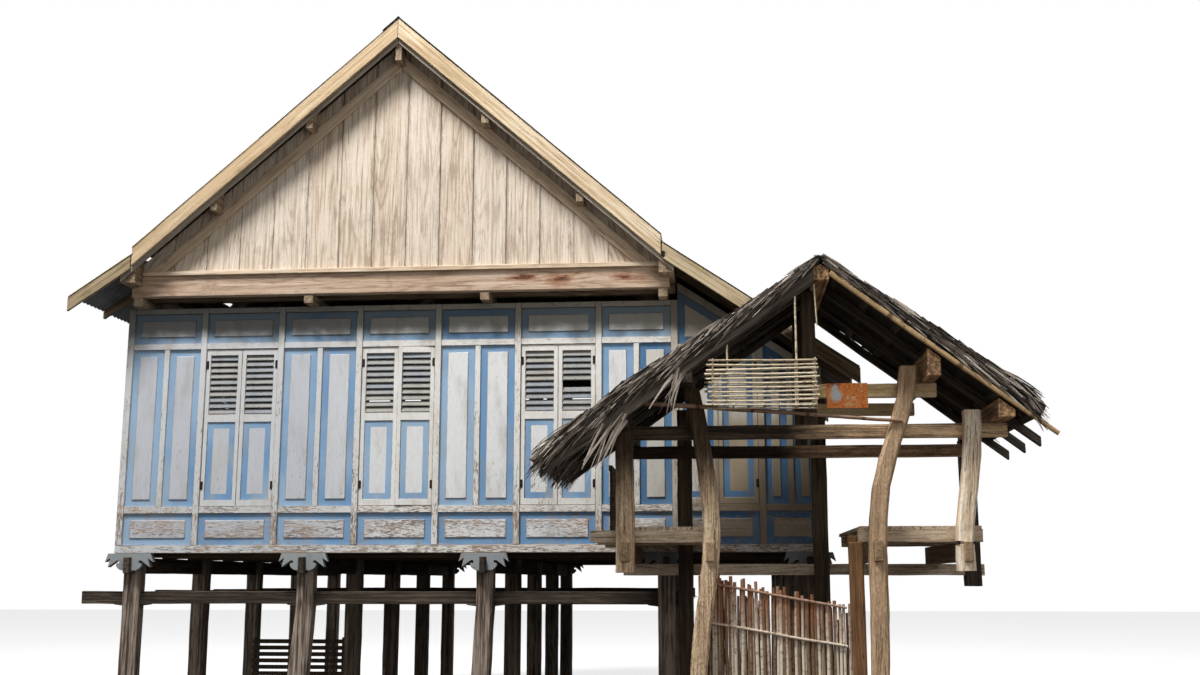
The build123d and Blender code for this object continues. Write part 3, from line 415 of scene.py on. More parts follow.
def panel_paint(name, whites, blues, streak):
    """Blue border, white raised field, most worn in the lowest row."""
    finish = Finish(name)
    wobble = finish.spot.clouds(35) - 0.5
    inside = (finish.attribute("field") + wobble * 0.5).step(0.45, 0.55)
    loss = (low_wear(finish, 0.097) * (0.45 + 0.55 * inside) + finish.seed * 0.030
            - inside * 0.006 - 0.020)
    paint = mix(faded_blue(finish, blues), two_toned(finish, whites), inside)
    paint, height, gone = flaked(finish, paint, loss, streak)
    return finish.close(shaded_row(finish, paint), 0.55 + 0.3 * gone, height, 0.002, sheen=0.35)


def leaf_paint(name, has_louvres, creams, whites, blues, streak):
    """Cream stiles, and a blue border round the white middle of the lower panel."""
    finish = Finish(name)
    up, across, _ = finish.place.parts()
    half_up, half_across, _ = finish.half.parts()
    share, rail = (LEAF_PANEL_TOP, 0.0) if has_louvres else (1.0, LEAF_RAIL)
    top = half_up * (2 * share - 1) - rail
    side = half_across - LEAF_STILE - abs(across)
    inset = side.math("MINIMUM", up + half_up - LEAF_RAIL).math("MINIMUM", top - up)
    wobble = (finish.spot.clouds(35) - 0.5) * 0.006
    on_panel = inset.step(-0.001, 0.001)
    in_field = (inset + wobble).step(LEAF_BORDER - 0.002, LEAF_BORDER + 0.002)
    paint = mix(two_toned(finish, creams), faded_blue(finish, blues), on_panel)
    paint = mix(paint, two_toned(finish, whites), in_field)
    uneven = finish.seed.step(0.2, 0.9)
    loss = ((up + half_up).step(0.9, 0.1) * (0.015 + 0.07 * uneven) + uneven * 0.025 - 0.005
            - on_panel * (1 - in_field) * 0.02)
    paint, height, gone = flaked(finish, paint, loss, streak)
    groove = (inset + 0.5).ridge(0.003)
    return finish.close(paint, 0.58 + 0.3 * gone, height - groove, 0.0025, sheen=0.35)


def plain_paint(name, tones, streak, loss):
    finish = Finish(name)
    paint, height, gone = flaked(finish, mix(*tones, finish.seed), finish.seed * 0.04 + loss,
                                 streak)
    return finish.close(paint, 0.6 + 0.25 * gone, height, 0.002)


# Metal, thatch and bamboo

def sheet_metal():
    finish = Finish("weathered_corrugated_sheet")
    seed, spot = finish.seed, finish.spot
    mottle = spot.clouds(2.5, 6, 0.65)
    runs = finish.place.vector("ADD", finish.joined(seed * 9.0, 0.0, 0.0))
    runs = runs.clouds((26, 1.3, 1), 4, 0.6)
    zinc = mix("8d9093", "6f7072", mottle.step(0.35, 0.7))
    zinc = mix(zinc, "a9aaa8", seed.step(0.6, 1.0) * 0.5)
    rust = (runs * 0.5 + mottle * 0.6 + seed * 0.07).step(0.60, 0.74)
    rust_tone = mix("6e4630", "8f5a36", spot.clouds(30, 3))
    grime = spot.clouds(9, 5).step(0.5, 0.8)
    paint = mix(mix(zinc, rust_tone, rust * 0.85), "3f3c38", grime * 0.5)
    return finish.close(paint, 0.5 + 0.35 * rust, mottle * 0.5 + rust * 0.4, 0.0015,
                        metal=0.55 * (1 - rust), sheen=0.5)


def rusty_metal():
    """Orange rust with one bare grey-blue spot at the left."""
    finish = Finish("rusty_plate_metal")
    low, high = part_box("rusty_plate")
    middle = (low.x + 0.065, low.y, high.z - 0.085)
    fine, broad = finish.spot.clouds(60, 5, 0.7), finish.spot.clouds(11, 4)
    rust = mix("f0722f", "ffb468", fine.step(0.4, 0.62))
    rust = mix(rust, "ffd2a0", (broad + fine * 0.3).step(0.66, 0.8))
    rust = mix(rust, "8a4020", broad.step(0.42, 0.3) * 0.7)
    away = finish.node("ShaderNodeVectorMath", {"operation": "LENGTH"},
                       {0: finish.spot.vector("SUBTRACT", middle)}, output=1)
    bare = (away + (fine - 0.5) * 0.12 + (broad - 0.5) * 0.14).step(0.048, 0.030)
    return finish.close(mix(rust, "d6dde2", bare), 0.8 - 0.3 * bare, fine * 0.6 - bare * 0.3,
                        0.002)


def hinge_iron():
    finish = Finish("rusted_hinge_iron")
    speck = finish.spot.clouds(90, 4, 0.7)
    return finish.close(mix("1f1b19", "5a3a28", speck.step(0.5, 0.68)), 0.7, speck, 0.001,
                        metal=0.3)


def straw_finish(name, tones):
    """Dry leaf strips, each with a tone of its own."""
    finish = Finish(name)
    dark, middle, light, pale = tones.split()
    seed, along = finish.seed, finish.attribute("along")
    veins = finish.spot.clouds(150)
    paint = mix(dark, middle, seed.step(0.22, 0.46))
    paint = mix(paint, light, seed.step(0.52, 0.76))
    paint = mix(paint, pale, seed.step(0.84, 0.94))
    paint = mix(paint, dark, veins.step(0.5, 0.7) * 0.40)
    paint = mix(paint, dark, along.step(0.08, 0.0) * 0.6)
    return finish.close(paint, 0.85, veins, 0.002)


def bamboo_finish(name, tones, pitch=0.25, redden=None, rings=0.8, uneven=0.2):
    """Split bamboo: pale fibres, dark rings at its knuckles, brown heads where redden is set."""
    finish = Finish(name)
    dark, middle, light = tones.split()
    seed, along, around = finish.seed, finish.attribute("along"), finish.attribute("around")
    streak = finish.joined(along * 2.0, around * 9.0, seed * 40.0).clouds(1, 4)
    speck = finish.spot.clouds(45, 4, 0.7)
    paint = mix(middle, light, (streak + (seed - 0.5) * uneven).step(0.32, 0.62))
    paint = mix(paint, dark, (speck * 0.7 + streak * 0.4).step(0.58, 0.70) * 0.8)
    knuckle = ((along + seed * pitch) / pitch).one("FRACT") - 0.5
    ring = abs(knuckle).step(0.05, 0.015)
    paint = mix(paint, dark, ring * rings)
    if redden:
        top = (finish.height + (speck - 0.5) * 0.5).step(1.05, 1.62)
        paint = mix(paint, redden, top * 0.80)
    return finish.close(paint, 0.62 + 0.2 * speck, streak * 0.5 + ring * 0.5, 0.002)


def floor_finish():
    """A pale studio floor: white to the eye, with shadows, and little light sent upwards."""
    finish = Finish("studio_floor")
    seen = finish.node("ShaderNodeLightPath", output=0)
    glow = mix((0, 0, 0, 1), (FLOOR_GLOW, FLOOR_GLOW, FLOOR_GLOW, 1), seen)
    return finish.close(mix("5c5956", "fbfbfb", seen), 0.9, sheen=0.0, glow=glow)


finishes = {
    "house_post": bare_timber("hewn_house_posts", "45392f 75665a ab9c8e 1c1612", cracks=1,
                              rise=0.007, change=SHADED_HEAD),
    "porch_post": bare_timber("crooked_porch_posts", "836b50 c4a584 f0d8b6 3a2c1e", cracks=1,
                              rise=0.007, stain="5a4a38", stain_reach=0.25, change=SHADED_TOP,
                              pits=0.45),
    "pale_post": bare_timber("pale_porch_posts", "8e7458 bf9e7c dfc6a4 3e2d1e", cracks=1,
                             rise=0.007, stain="7d6449", stain_reach=0.3, pits=0.45),
    "paler_post": bare_timber("palest_porch_post", "c4a888 efd4b2 fbeeda 66503a", cracks=1,
                              rise=0.007, pits=0.45),
    # Tie beams, their wedges and the girders: dark wood, made near-black partly by painted shade
    # under the floor
    "beam": bare_timber("tie_beam_wood", "1e1813 382f27 5f5346 0e0b08", cracks=1, rise=0.006,
                        stain="2e261e"),
    "porch_beam": bare_timber("porch_beam_wood", "1f1913 382d23 5a4d3d 0e0a07", cracks=1,
                              rise=0.006, stain="241c14", change=LIT_END, pits=0.3),
    "porch_joist": bare_timber("porch_joist_wood", "6b5742 927a5e b59a78 4a3a2a", rings=0.3,
                               cracks=0.3, rise=0.003, pits=0.3),
    "porch_plate": bare_timber("porch_plate_wood", "1f1913 382d23 5a4d3d 0e0a07", cracks=0.3,
                               change=LIT_PLATE),
    "mottled_beam": bare_timber("mottled_tie_wood", "c4a26c f0d2a0 fce8c8 6b5233", cracks=0.4,
                                rise=0.005, stain="a07c48", stain_reach=0.8, pits=0.4),
    "bearer": bare_timber("bearer_wood", "957f68 cdb79c eedcc4 463a2e", cracks=1, rise=0.006,
                          pits=0.4),
    # Dark wood for the framing under the floor and inside the porch
    "dark_frame": bare_timber("smoked_frame_wood", "2f2720 483b2f 66573f 15100c", rise=0.005),
    "sawn": bare_timber("sawn_roof_timber", "6b5a48 927e68 b5a289 382d23", cracks=0.6,
                        stain="4f3f30", rise=0.003),
    "gable": bare_timber("sun_bleached_planks", "b6a592 d8cab8 ebe0d1 5f4a3a", rings=1.0,
                         cracks=0.7, stain="96775c", stain_reach=0.38, rise=0.002, pits=0.25,
                         seams=0.55),
    "trim": bare_timber("gable_trim_wood", "b29a80 d2bb9f e6d6c0 56422f", cracks=0.7,
                        stain="7d6148", rise=0.003),
    "barge": bare_timber("barge_board_wood", "ab9370 c6ac89 e1cfb2 553f27", rings=0.4,
                         cracks=0.5, stain="c08f58", stain_reach=0.22, rise=0.003),
    "verge": bare_timber("verge_board_wood", "7a6f60 a3988a c4bbae 352c23", cracks=0.6,
                         rise=0.003),
    "mossy": bare_timber("mossy_barge_wood", "7d6c51 a39073 c4b293 362d1f", cracks=0.6,
                         stain="75643f", lichen="b8a83a", rot=ROT_HOLE),
    "gable_beam": bare_timber("gable_beam_wood", "a68a72 c5ab94 d9c6b3 55301c", rings=1.3,
                              cracks=0.7, stain="92603f", stain_reach=0.40, pits=0.2,
                              knots=KNOTS),
    "thatch_rafter": bare_timber("grey_rafter_wood", "2b2620 494139 6e655a 13100d", cracks=1,
                                 rise=0.005),
    "orange_post": bare_timber("orange_brown_post", "4a3523 775538 9b774e 22170e", cracks=1,
                               rise=0.005),
    "frame_paint": frame_paint("cream_frame_paint", CREAM, "b3aca0"),
    "aisle_frame_paint": frame_paint("aisle_frame_paint", AISLE_CREAM, "7d6b52"),
    "panel_paint": panel_paint("blue_and_white_panel_paint", WHITE, BLUES, STREAK),
    "aisle_panel_paint": panel_paint("aisle_panel_paint", AISLE_WHITE, SHADED_AISLE_BLUES,
                                     AISLE_STREAK),
    "leaf_paint": leaf_paint("louvred_leaf_paint", True, CREAM, WHITE, BLUES, "b1a898"),
    "plain_leaf_paint": leaf_paint("plain_leaf_paint", False, AISLE_CREAM, AISLE_WHITE,
                                   SHADED_AISLE_BLUES, AISLE_STREAK),
    "louvre_paint": plain_paint("louvre_paint", ("7a8189", "928f86"), "5c5e60", -0.01),
    "bracket_paint": plain_paint("bracket_paint", ("8b9194", "979c9e"), "62686b", 0.01),
    "sheet": sheet_metal(),
    "rust": rusty_metal(),
    "hinge": hinge_iron(),
    "thatch": straw_finish("dry_palm_thatch", "15110d 564b41 aa9d8f d0c6b8"),
    "rack_bamboo": bamboo_finish("rack_bamboo", "54422d ab9778 e4d6bb", rings=0.3),
    "fence_bamboo": bamboo_finish("fence_bamboo", "35261b 7c634c dccfbc", 0.31, "8e5632", 0.35,
                                  0.9),
    "brown_pole": bamboo_finish("brown_pole", "4a3623 8c6f4c bb9d73", 0.6),
    "pole": bamboo_finish("reddish_pole", "4a3024 85654e ae8f78", 0.4),
    "cord": straw_finish("binding_cord", "17120e 2e261e 43382d 5e5142"),
    "floor": floor_finish(),
}


# Reading and marking meshes

SLOTS = {part["node"]: part["material_slot"] for part in frame["record"]["subparts"]}


def read_points(mesh):
    points = np.empty(len(mesh.vertices) * 3)
    mesh.vertices.foreach_get("co", points)
    return points.reshape(-1, 3)


def read_corners(items, width):
    """The vertex numbers of edges or triangles."""
    corners = np.empty(len(items) * width, np.int64)
    items.foreach_get("vertices", corners)
    return corners.reshape(-1, width)


def write_points(mesh, points):
    mesh.vertices.foreach_set("co", points.ravel())
    mesh.update()


def add_layer(mesh, name, values):
    values = np.array(values, float)
    kind, key = ("FLOAT_VECTOR", "vector") if values.ndim == 2 else ("FLOAT", "value")
    mesh.attributes.new(name, kind, "POINT").data.foreach_set(key, values.ravel())


def shell_labels(mesh):
    """The same number for all vertices of a connected shell."""
    edges, label = read_corners(mesh.edges, 2), np.arange(len(mesh.vertices))
    while True:
        low = np.minimum(label[edges[:, 0]], label[edges[:, 1]])
        after = label.copy()
        np.minimum.at(after, edges[:, 0], low)
        np.minimum.at(after, edges[:, 1], low)
        after = after[after]
        if (after == label).all():
            return label
        label = after


def snapped(axis):
    """The axis itself, or the frame's own axis where it lies within 3 degrees of it."""
    for own in np.eye(3):
        if abs(axis @ own) > 0.9986:
            return own
    return axis if axis[np.argmax(np.abs(axis))] > 0 else -axis


def long_axes(corners, normals, areas):
    """Lengthwise, crosswise and thickness directions of one solid."""
    middle = (corners.mean(1) * areas[:, None]).sum(0) / areas.sum()
    spread = corners - middle
    centre = spread.mean(1)
    weights = areas / 12
    inertia = np.einsum("t,tij,tik->jk", weights, spread, spread)
    inertia += np.einsum("t,tj,tk->jk", 9 * weights, centre, centre)
    along = snapped(np.linalg.eigh(inertia)[1][:, -1])
    flat = np.abs(normals @ along) < 0.3
    thin = normals[np.argmax(np.where(flat, areas, 0))] if flat.any() else np.array((0, 1.0, 0))
    thin = thin - (thin @ along) * along
    thin = snapped(thin / np.linalg.norm(thin))
    return np.array((along, np.cross(thin, along), thin))


def mark_grain(mesh):
    """Write place, half and seed on the vertices, each solid in its own lengthwise axes."""
    mesh.calc_loop_triangles()
    points, triangles = read_points(mesh), read_corners(mesh.loop_triangles, 3)
    label = shell_labels(mesh)
    corners = points[triangles]
    cross = np.cross(corners[:, 1] - corners[:, 0], corners[:, 2] - corners[:, 0])
    areas = np.linalg.norm(cross, axis=1) + 1e-12
    normals = cross / areas[:, None]
    place, half, seed = np.zeros_like(points), np.zeros_like(points), np.zeros(len(points))
    owner = label[triangles[:, 0]]
    for shell in np.unique(label):
        mine, faces = label == shell, owner == shell
        if not faces.any():
            continue
        local = points[mine] @ long_axes(corners[faces], normals[faces], areas[faces]).T
        low, high = local.min(0), local.max(0)
        place[mine] = local - (low + high) / 2
        half[mine] = (high - low) / 2
        spot = points[mine].mean(0)
        seed[mine] = (math.sin(spot @ (12.9898, 78.233, 37.719)) * 43758.5453) % 1
    for name, values in (("place", place), ("half", half), ("seed", seed)):
        add_layer(mesh, name, values)


def mark_field(mesh, outward):
    """1 on the raised field of a panel, 0 on its border."""
    depth, label = read_points(mesh) @ np.array(outward, float), shell_labels(mesh)
    top = np.full(len(depth), -1e9)
    np.maximum.at(top, label, depth)
    add_layer(mesh, "field", np.clip((depth - (top[label] - 0.0065)) / 0.005, 0, 1))


def held_inside(mesh, margin=0.004, soft=0.03):
    """Ease stray points back inside the solid model's box without flattening them."""
    low, high = [np.array(corner) for corner in cad_box]
    points = read_points(mesh)
    for side, sign in ((low + margin, 1), (high - margin, -1)):
        depth = (points - side) * sign
        eased = soft * np.exp(np.minimum(depth - soft, 0) / soft)
        points = np.where(depth < soft, side + sign * eased, points)
    write_points(mesh, points)


def add_piece(name, mesh, finish, nodes=(), slot=None):
    """Link a finished mesh as a piece of the house that stands for these CAD nodes."""
    mesh.materials.clear()
    mesh.materials.append(finishes[finish])
    piece = bpy.data.objects.new(name, mesh)
    bpy.context.scene.collection.objects.link(piece)
    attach(piece, "root")
    if nodes:
        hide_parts(*nodes)
    slot or SLOTS[nodes[0]]


# Pieces dressed from the solids

def cut_across(bm, axis, pitch):
    """Cut the mesh every pitch along an axis, so that it can bend."""
    normal = Vector([float(letter == axis) for letter in "xyz"])
    reach = [vert.co.dot(normal) for vert in bm.verts]
    low, high = min(reach), max(reach)
    count = int((high - low) / pitch)
    for k in range(1, count):
        everything = bm.verts[:] + bm.edges[:] + bm.faces[:]
        level = low + (high - low) * k / count
        bmesh.ops.bisect_plane(bm, geom=everything, plane_co=normal * level, plane_no=normal)


def bend(bm, amount):
    """Push the surface about as an adze and the weather leave it."""
    for vert in bm.verts:
        slow, quick = noise.noise_vector(vert.co * 2.3), noise.noise_vector(vert.co * 11.0)
        vert.co += (slow * 0.7 + quick * 0.5) * amount


def round_edges(bm, size):
    """Bevel the sharp edges and mark the new faces as worn."""
    worn = bm.faces.layers.float.new("edge")
    sharp = [edge for edge in bm.edges
             if len(edge.link_faces) == 2 and edge.calc_face_angle(0) > math.radians(28)]
    made = bmesh.ops.bevel(bm, geom=sharp, offset=size, segments=1, profile=0.5,
                           affect="EDGES", clamp_overlap=True)
    for face in made["faces"]:
        face[worn] = 1.0


def mesh_from(bm, name):
    mesh = bpy.data.meshes.new(name)
    bm.to_mesh(mesh)
    bm.free()
    mark_grain(mesh)
    return mesh


def merged_copy(node):
    bm = bmesh.new()
    bm.from_mesh(frame["nodes"][node].data)
    bmesh.ops.remove_doubles(bm, verts=bm.verts, dist=1e-5)
    return bm


def solids_of(bm):
    """The faces of each solid; solids that only touch along an edge stay apart."""
    left = set(bm.faces)
    while left:
        found, waiting = [], [left.pop()]
        while waiting:
            face = waiting.pop()
            found.append(face)
            beside = {other for edge in face.edges if len(edge.link_faces) == 2
                      for other in edge.link_faces} & left
            left -= beside
            waiting += beside
        yield found


def middle_of(solid):
    spots = {vert for face in solid for vert in face.verts}
    return sum((vert.co for vert in spots), Vector()) / len(spots)


def dress(node, bevel=0.003, cuts=(), amount=0.0, outward=None, keep=None):
    """A softer copy of a CAD node: merged, worn at its edges, bent a little, with its grain."""
    bm = merged_copy(node)
    bmesh.ops.dissolve_limit(bm, angle_limit=math.radians(0.5), verts=bm.verts, edges=bm.edges)
    if keep:
        lost = [face for solid in solids_of(bm) if not keep(middle_of(solid)) for face in solid]
        bmesh.ops.delete(bm, geom=lost, context="FACES")
    for axis, pitch in cuts:
        cut_across(bm, axis, pitch)
    round_edges(bm, bevel)
    if amount:
        bend(bm, amount)
    mesh = mesh_from(bm, node + "_worn")
    held_inside(mesh, margin=0.0005, soft=0.004)
    if outward:
        mark_field(mesh, outward)
    return mesh


def dress_parts(node, options, parts):
    """Pieces of one node in different finishes: each part has a test of a solid's middle."""
    for number, (name, finish, keep) in enumerate(parts):
        mesh = dress(node, keep=keep, **options)
        add_piece(node + name, mesh, finish, [] if number else [node], SLOTS[node])


def add_slats(node, axis, deeper, taller):
    """Louvre slats, each turned about its middle until it is deeper and taller by these."""
    mesh = dress(node, bevel=0.001)
    points = read_points(mesh)
    label = np.unique(shell_labels(mesh), return_inverse=True)[1]
    share = np.bincount(label)
    middle = np.stack([np.bincount(label, points[:, k]) / share for k in range(3)], axis=1)[label]
    size = np.array([1.0, 1.0, taller])
    size[axis] = deeper
    write_points(mesh, middle + (points - middle) * size)
    add_piece(node + "_slats", mesh, "louvre_paint", [node])


# How members are worn: cuts and their pitch, how far they bend, and the width of worn edges
HEWN_UP = {"cuts": [("z", 0.13)], "amount": 0.006, "bevel": 0.006}
HEWN_X = {"cuts": [("x", 0.16)], "amount": 0.006, "bevel": 0.005}
HEWN_Y = {"cuts": [("y", 0.20)], "amount": 0.005, "bevel": 0.005}
CROOKED = {"cuts": [("z", 0.09)], "amount": 0.008, "bevel": 0.008}
PAINTED = {"bevel": 0.0025}
SAWN, FINE, PANEL_EDGE = {}, {"bevel": 0.002}, 0.0015

for finish, options, nodes in (
        ("house_post", HEWN_UP, "house_posts"),
        ("beam", HEWN_X, "tie_beams"),
        ("beam", SAWN, "tie_wedges"),
        ("beam", HEWN_Y, "floor_girders"),
        ("dark_frame", SAWN, "floor_joists floor_deck"),
        ("bracket_paint", {"bevel": 0.0015}, "carved_brackets"),
        ("frame_paint", {"bevel": 0.005, "cuts": [("x", 0.2)], "amount": 0.003}, "end_sills"),
        ("frame_paint", {"bevel": 0.005, "cuts": [("y", 0.2)], "amount": 0.003}, "side_sills"),
        ("panel_paint", {"bevel": PANEL_EDGE, "outward": (0, 1, 0)}, "back_panels"),
        ("panel_paint", {"bevel": PANEL_EDGE, "outward": (-1, 0, 0)}, "left_panels"),
        ("panel_paint", {"bevel": PANEL_EDGE, "outward": (1, 0, 0)}, "right_panels"),
        ("leaf_paint", PAINTED, "left_shutters"),
        ("plain_leaf_paint", PAINTED, "right_shutters"),
        ("sawn", SAWN, "long_plates cross_beams king_posts principal_rafters "
                       "ridge_and_purlins main_rafters skirt_rafters"),
        ("gable_beam", {"bevel": 0.006}, "gable_beams"),
        ("trim", SAWN, "gable_trims"),
        ("dark_frame", HEWN_UP, "porch_rear_posts"),
        ("porch_joist", HEWN_Y, "porch_joists"),
        ("bearer", HEWN_X, "porch_bearers"),
        ("bearer", SAWN, "porch_floor_planks"),
        ("dark_frame", HEWN_UP, "porch_king_posts"),
        ("porch_plate", HEWN_Y, "porch_plates"),
        ("thatch_rafter", SAWN, "porch_battens"),
        ("orange_post", HEWN_UP, "notched_post"),
        ("dark_frame", SAWN, "side_railing"),
        ("dark_frame", FINE, "slat_screen"),
        ("rust", {"bevel": 0.0008}, "rusty_plate")):
    for node in nodes.split():
        add_piece(node + "_worn", dress(node, **options), finish, [node])

add_slats("front_louvres", 1, 0.50, 1.42)
add_slats("left_louvres", 0, 0.50, 1.42)
add_slats("back_louvres", 1, 0.45, 1.60)


# Pieces whose node has more than one finish

AISLE_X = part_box("front_louvres")[1].x + 0.5
FRONT_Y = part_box("front_panels")[1].y + 0.06
UPPER_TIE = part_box("porch_tie_beams")[1].z - 0.12
main_low, main_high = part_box("main_roof")
house_x = (main_low.x + main_high.x) / 2
boards_low, boards_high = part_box("barge_boards")


def in_aisle(spot):
    return spot.x > AISLE_X


def under_porch(spot):
    return spot.x > AISLE_X and spot.y < FRONT_Y


def is_upper_tie(spot):
    return spot.z > UPPER_TIE


def is_verge(spot):
    """The thinner boards stand a little behind the outer ones."""
    return min(spot.y - boards_low.y, boards_high.y - spot.y) > 0.025


def is_main_board(spot):
    return abs(spot.x - house_x) < 2.4


def other_than(*tests):
    return lambda spot: not any(test(spot) for test in tests)


dress_parts("porch_posts", CROOKED, [
    ("_brown", "porch_post", lambda spot: spot.x < PALE_FROM),
    ("_pale", "pale_post", lambda spot: PALE_FROM < spot.x < PALER_FROM),
    ("_paler", "paler_post", lambda spot: spot.x > PALER_FROM)])
for shutters in ("front_shutters", "back_shutters"):
    dress_parts(shutters, PAINTED, [("_louvred", "leaf_paint", other_than(in_aisle)),
                                    ("_plain", "plain_leaf_paint", in_aisle)])
for framing in ("wall_studs", "wall_rails"):
    dress_parts(framing, PAINTED, [("_worn", "frame_paint", other_than(under_porch)),
                                   ("_aisle", "aisle_frame_paint", under_porch)])
dress_parts("front_panels", {"bevel": PANEL_EDGE, "outward": (0, -1, 0)}, [
    ("_worn", "panel_paint", other_than(in_aisle)), ("_aisle", "aisle_panel_paint", in_aisle)])
dress_parts("porch_tie_beams", HEWN_X, [("_worn", "porch_beam", other_than(is_upper_tie)),
                                        ("_upper", "mottled_beam", is_upper_tie)])


# Geometry trees for what repeats

class Maker(Graph):
    """A geometry tree with named inputs, run over a guide mesh that the script builds."""

    def __init__(self, name):
        super().__init__(bpy.data.node_groups.new(name, "GeometryNodeTree"))
        self.sockets = {}
        self.add_socket("Result", "Geometry", "OUTPUT")
        self.start = self.tree.nodes.new("NodeGroupInput")
        self.guide = self.take("Guide:Geometry")[0]

    def add_socket(self, name, kind, way="INPUT"):
        made = self.tree.interface.new_socket(name, in_out=way, socket_type="NodeSocket" + kind)
        self.sockets[name] = made.identifier

    def take(self, *names):
        """New inputs of the tree; a name is followed by its kind where that isn't Float."""
        taken = []
        for text in names:
            name, _, kind = text.partition(":")
            self.add_socket(name, kind or "Float")
            taken.append(Value(self, self.start.outputs[name]))
        return taken

    def do(self, kind, inputs=None, settings=None, output=0):
        return self.node("GeometryNode" + kind, settings, inputs, output)

    def named(self, name):
        return self.do("InputNamedAttribute", {0: name}, {"data_type": "FLOAT"})

    def store(self, geometry, name, value, domain="POINT"):
        return self.do("StoreNamedAttribute", {0: geometry, "Name": name, "Value": value},
                       {"data_type": "FLOAT", "domain": domain})

    def random(self, low, high, seed):
        return self.node("FunctionNodeRandomValue", {"data_type": "FLOAT"},
                         {2: low, 3: high, "Seed": seed}, output=1)

    def turn(self, x, y, z):
        return self.node("FunctionNodeEulerToRotation", inputs={0: self.joined(x, y, z)})

    def end(self, geometry, material):
        real = self.do("RealizeInstances", {0: geometry})
        done = self.do("SetMaterial", {0: real, "Material": material})
        self.node("NodeGroupOutput", inputs={"Result": done})
        return self

    def run(self, name, guide, finish, **values):
        """The tree's result over the guide, as a plain mesh."""
        carrier = bpy.data.objects.new(name + "_guide", guide)
        bpy.context.scene.collection.objects.link(carrier)
        modifier = carrier.modifiers.new("tree", "NODES")
        modifier.node_group = self.tree
        for key, value in {"Finish": finishes[finish], **values}.items():
            modifier[self.sockets[key.replace("_", " ")]] = value
        graph = bpy.context.evaluated_depsgraph_get()
        mesh = bpy.data.meshes.new_from_object(carrier.evaluated_get(graph))
        mesh.name = name
        bpy.data.objects.remove(carrier)
        return mesh


def stick_maker():
    """Round sticks along the guide's edges, crooked and knuckled as bamboo is."""
    tree = Maker("sticks")
    sides, step, wobble, pitch, rise, flat, finish = tree.take(
        "Sides:Int", "Step", "Wobble", "Knuckle Pitch", "Rise", "Flat", "Finish:Material")
    line = tree.do("MeshToCurve", {0: tree.guide})
    line = tree.do("ResampleCurve", {0: line, "Length": step}, {"mode": "LENGTH"})
    along = tree.do("SplineParameter", output=1)
    seed = tree.named("seed")
    moved = tree.do("InputPosition").vector("ADD", tree.joined(seed * 20.0, seed * 7.0,
                                                               seed * 13.0))
    drift = moved.clouds(2.4, output=1).vector("SUBTRACT", (0.5, 0.5, 0.5))
    drift = tree.node("ShaderNodeVectorMath", {"operation": "SCALE"}, {0: drift, 3: wobble})
    line = tree.do("SetPosition", {0: line, "Offset": drift})
    line = tree.store(line, "along", along)
    line = tree.do("SetCurveTilt", {0: line, "Tilt": seed * 19.0})
    turn = ((along + seed * pitch) / pitch).one("FRACT") - 0.5
    ring = abs(turn * pitch).step(0.022, 0.004)
    width = tree.named("thickness") * (1 + ring * rise)
    circle = tree.do("CurvePrimitiveCircle", {0: sides, "Radius": 1.0})
    circle = tree.store(circle, "around", tree.do("SplineParameter"))
    circle = tree.do("Transform", {0: circle, "Scale": tree.joined(1.0, flat, 1.0)})
    body = tree.do("CurveToMesh", {0: line, 1: circle, "Scale": width, "Fill Caps": True})
    return tree.end(body, finish)


def straw_maker():
    """Dry leaf strips scattered over the guide's faces, lying downhill over each other."""
    tree = Maker("thatch_straws")
    density, length, width, droop, splay, lift, seed, downhill, finish = tree.take(
        "Density", "Length", "Width", "Droop", "Splay", "Lift", "Seed:Int", "Downhill:Vector",
        "Finish:Material")
    strip = tree.do("MeshGrid", {0: 1.0, 1: 1.0, 2: 5, 3: 3})
    x, y, _ = tree.do("InputPosition").parts()
    t = x + 0.5
    bent = tree.joined((t - 0.15) * length, y * width * (1 - t * t * 0.8),
                       t * t * droop * (-1.0) * length - abs(y) * width * 0.6)
    strip = tree.store(strip, "along", t)
    strip = tree.do("SetPosition", {0: strip, "Position": bent})
    spread = tree.do("DistributePointsOnFaces", {0: tree.guide, "Density": density,
                                                 "Seed": seed})
    turn = Value(tree, spread.socket.node.outputs["Rotation"])
    turn = tree.node("FunctionNodeAlignRotationToVector", {"axis": "X", "pivot_axis": "Z"},
                     {0: turn, "Vector": downhill})
    tilt = tree.turn(tree.random(-0.7, 0.7, seed), tree.random(-1.6, 0.6, seed) * lift,
                     tree.random(-1.0, 1.0, seed) * splay)
    turn = tree.node("FunctionNodeRotateRotation", {"rotation_space": "LOCAL"},
                     {0: turn, 1: tilt})
    size = tree.joined(tree.random(0.55, 1.25, seed), tree.random(0.6, 1.5, seed), 1.0)
    straws = tree.do("InstanceOnPoints", {0: spread, "Instance": strip, "Rotation": turn,
                                          "Scale": size})
    straws = tree.store(straws, "seed", tree.random(0.0, 1.0, seed), "INSTANCE")
    return tree.end(straws, finish)


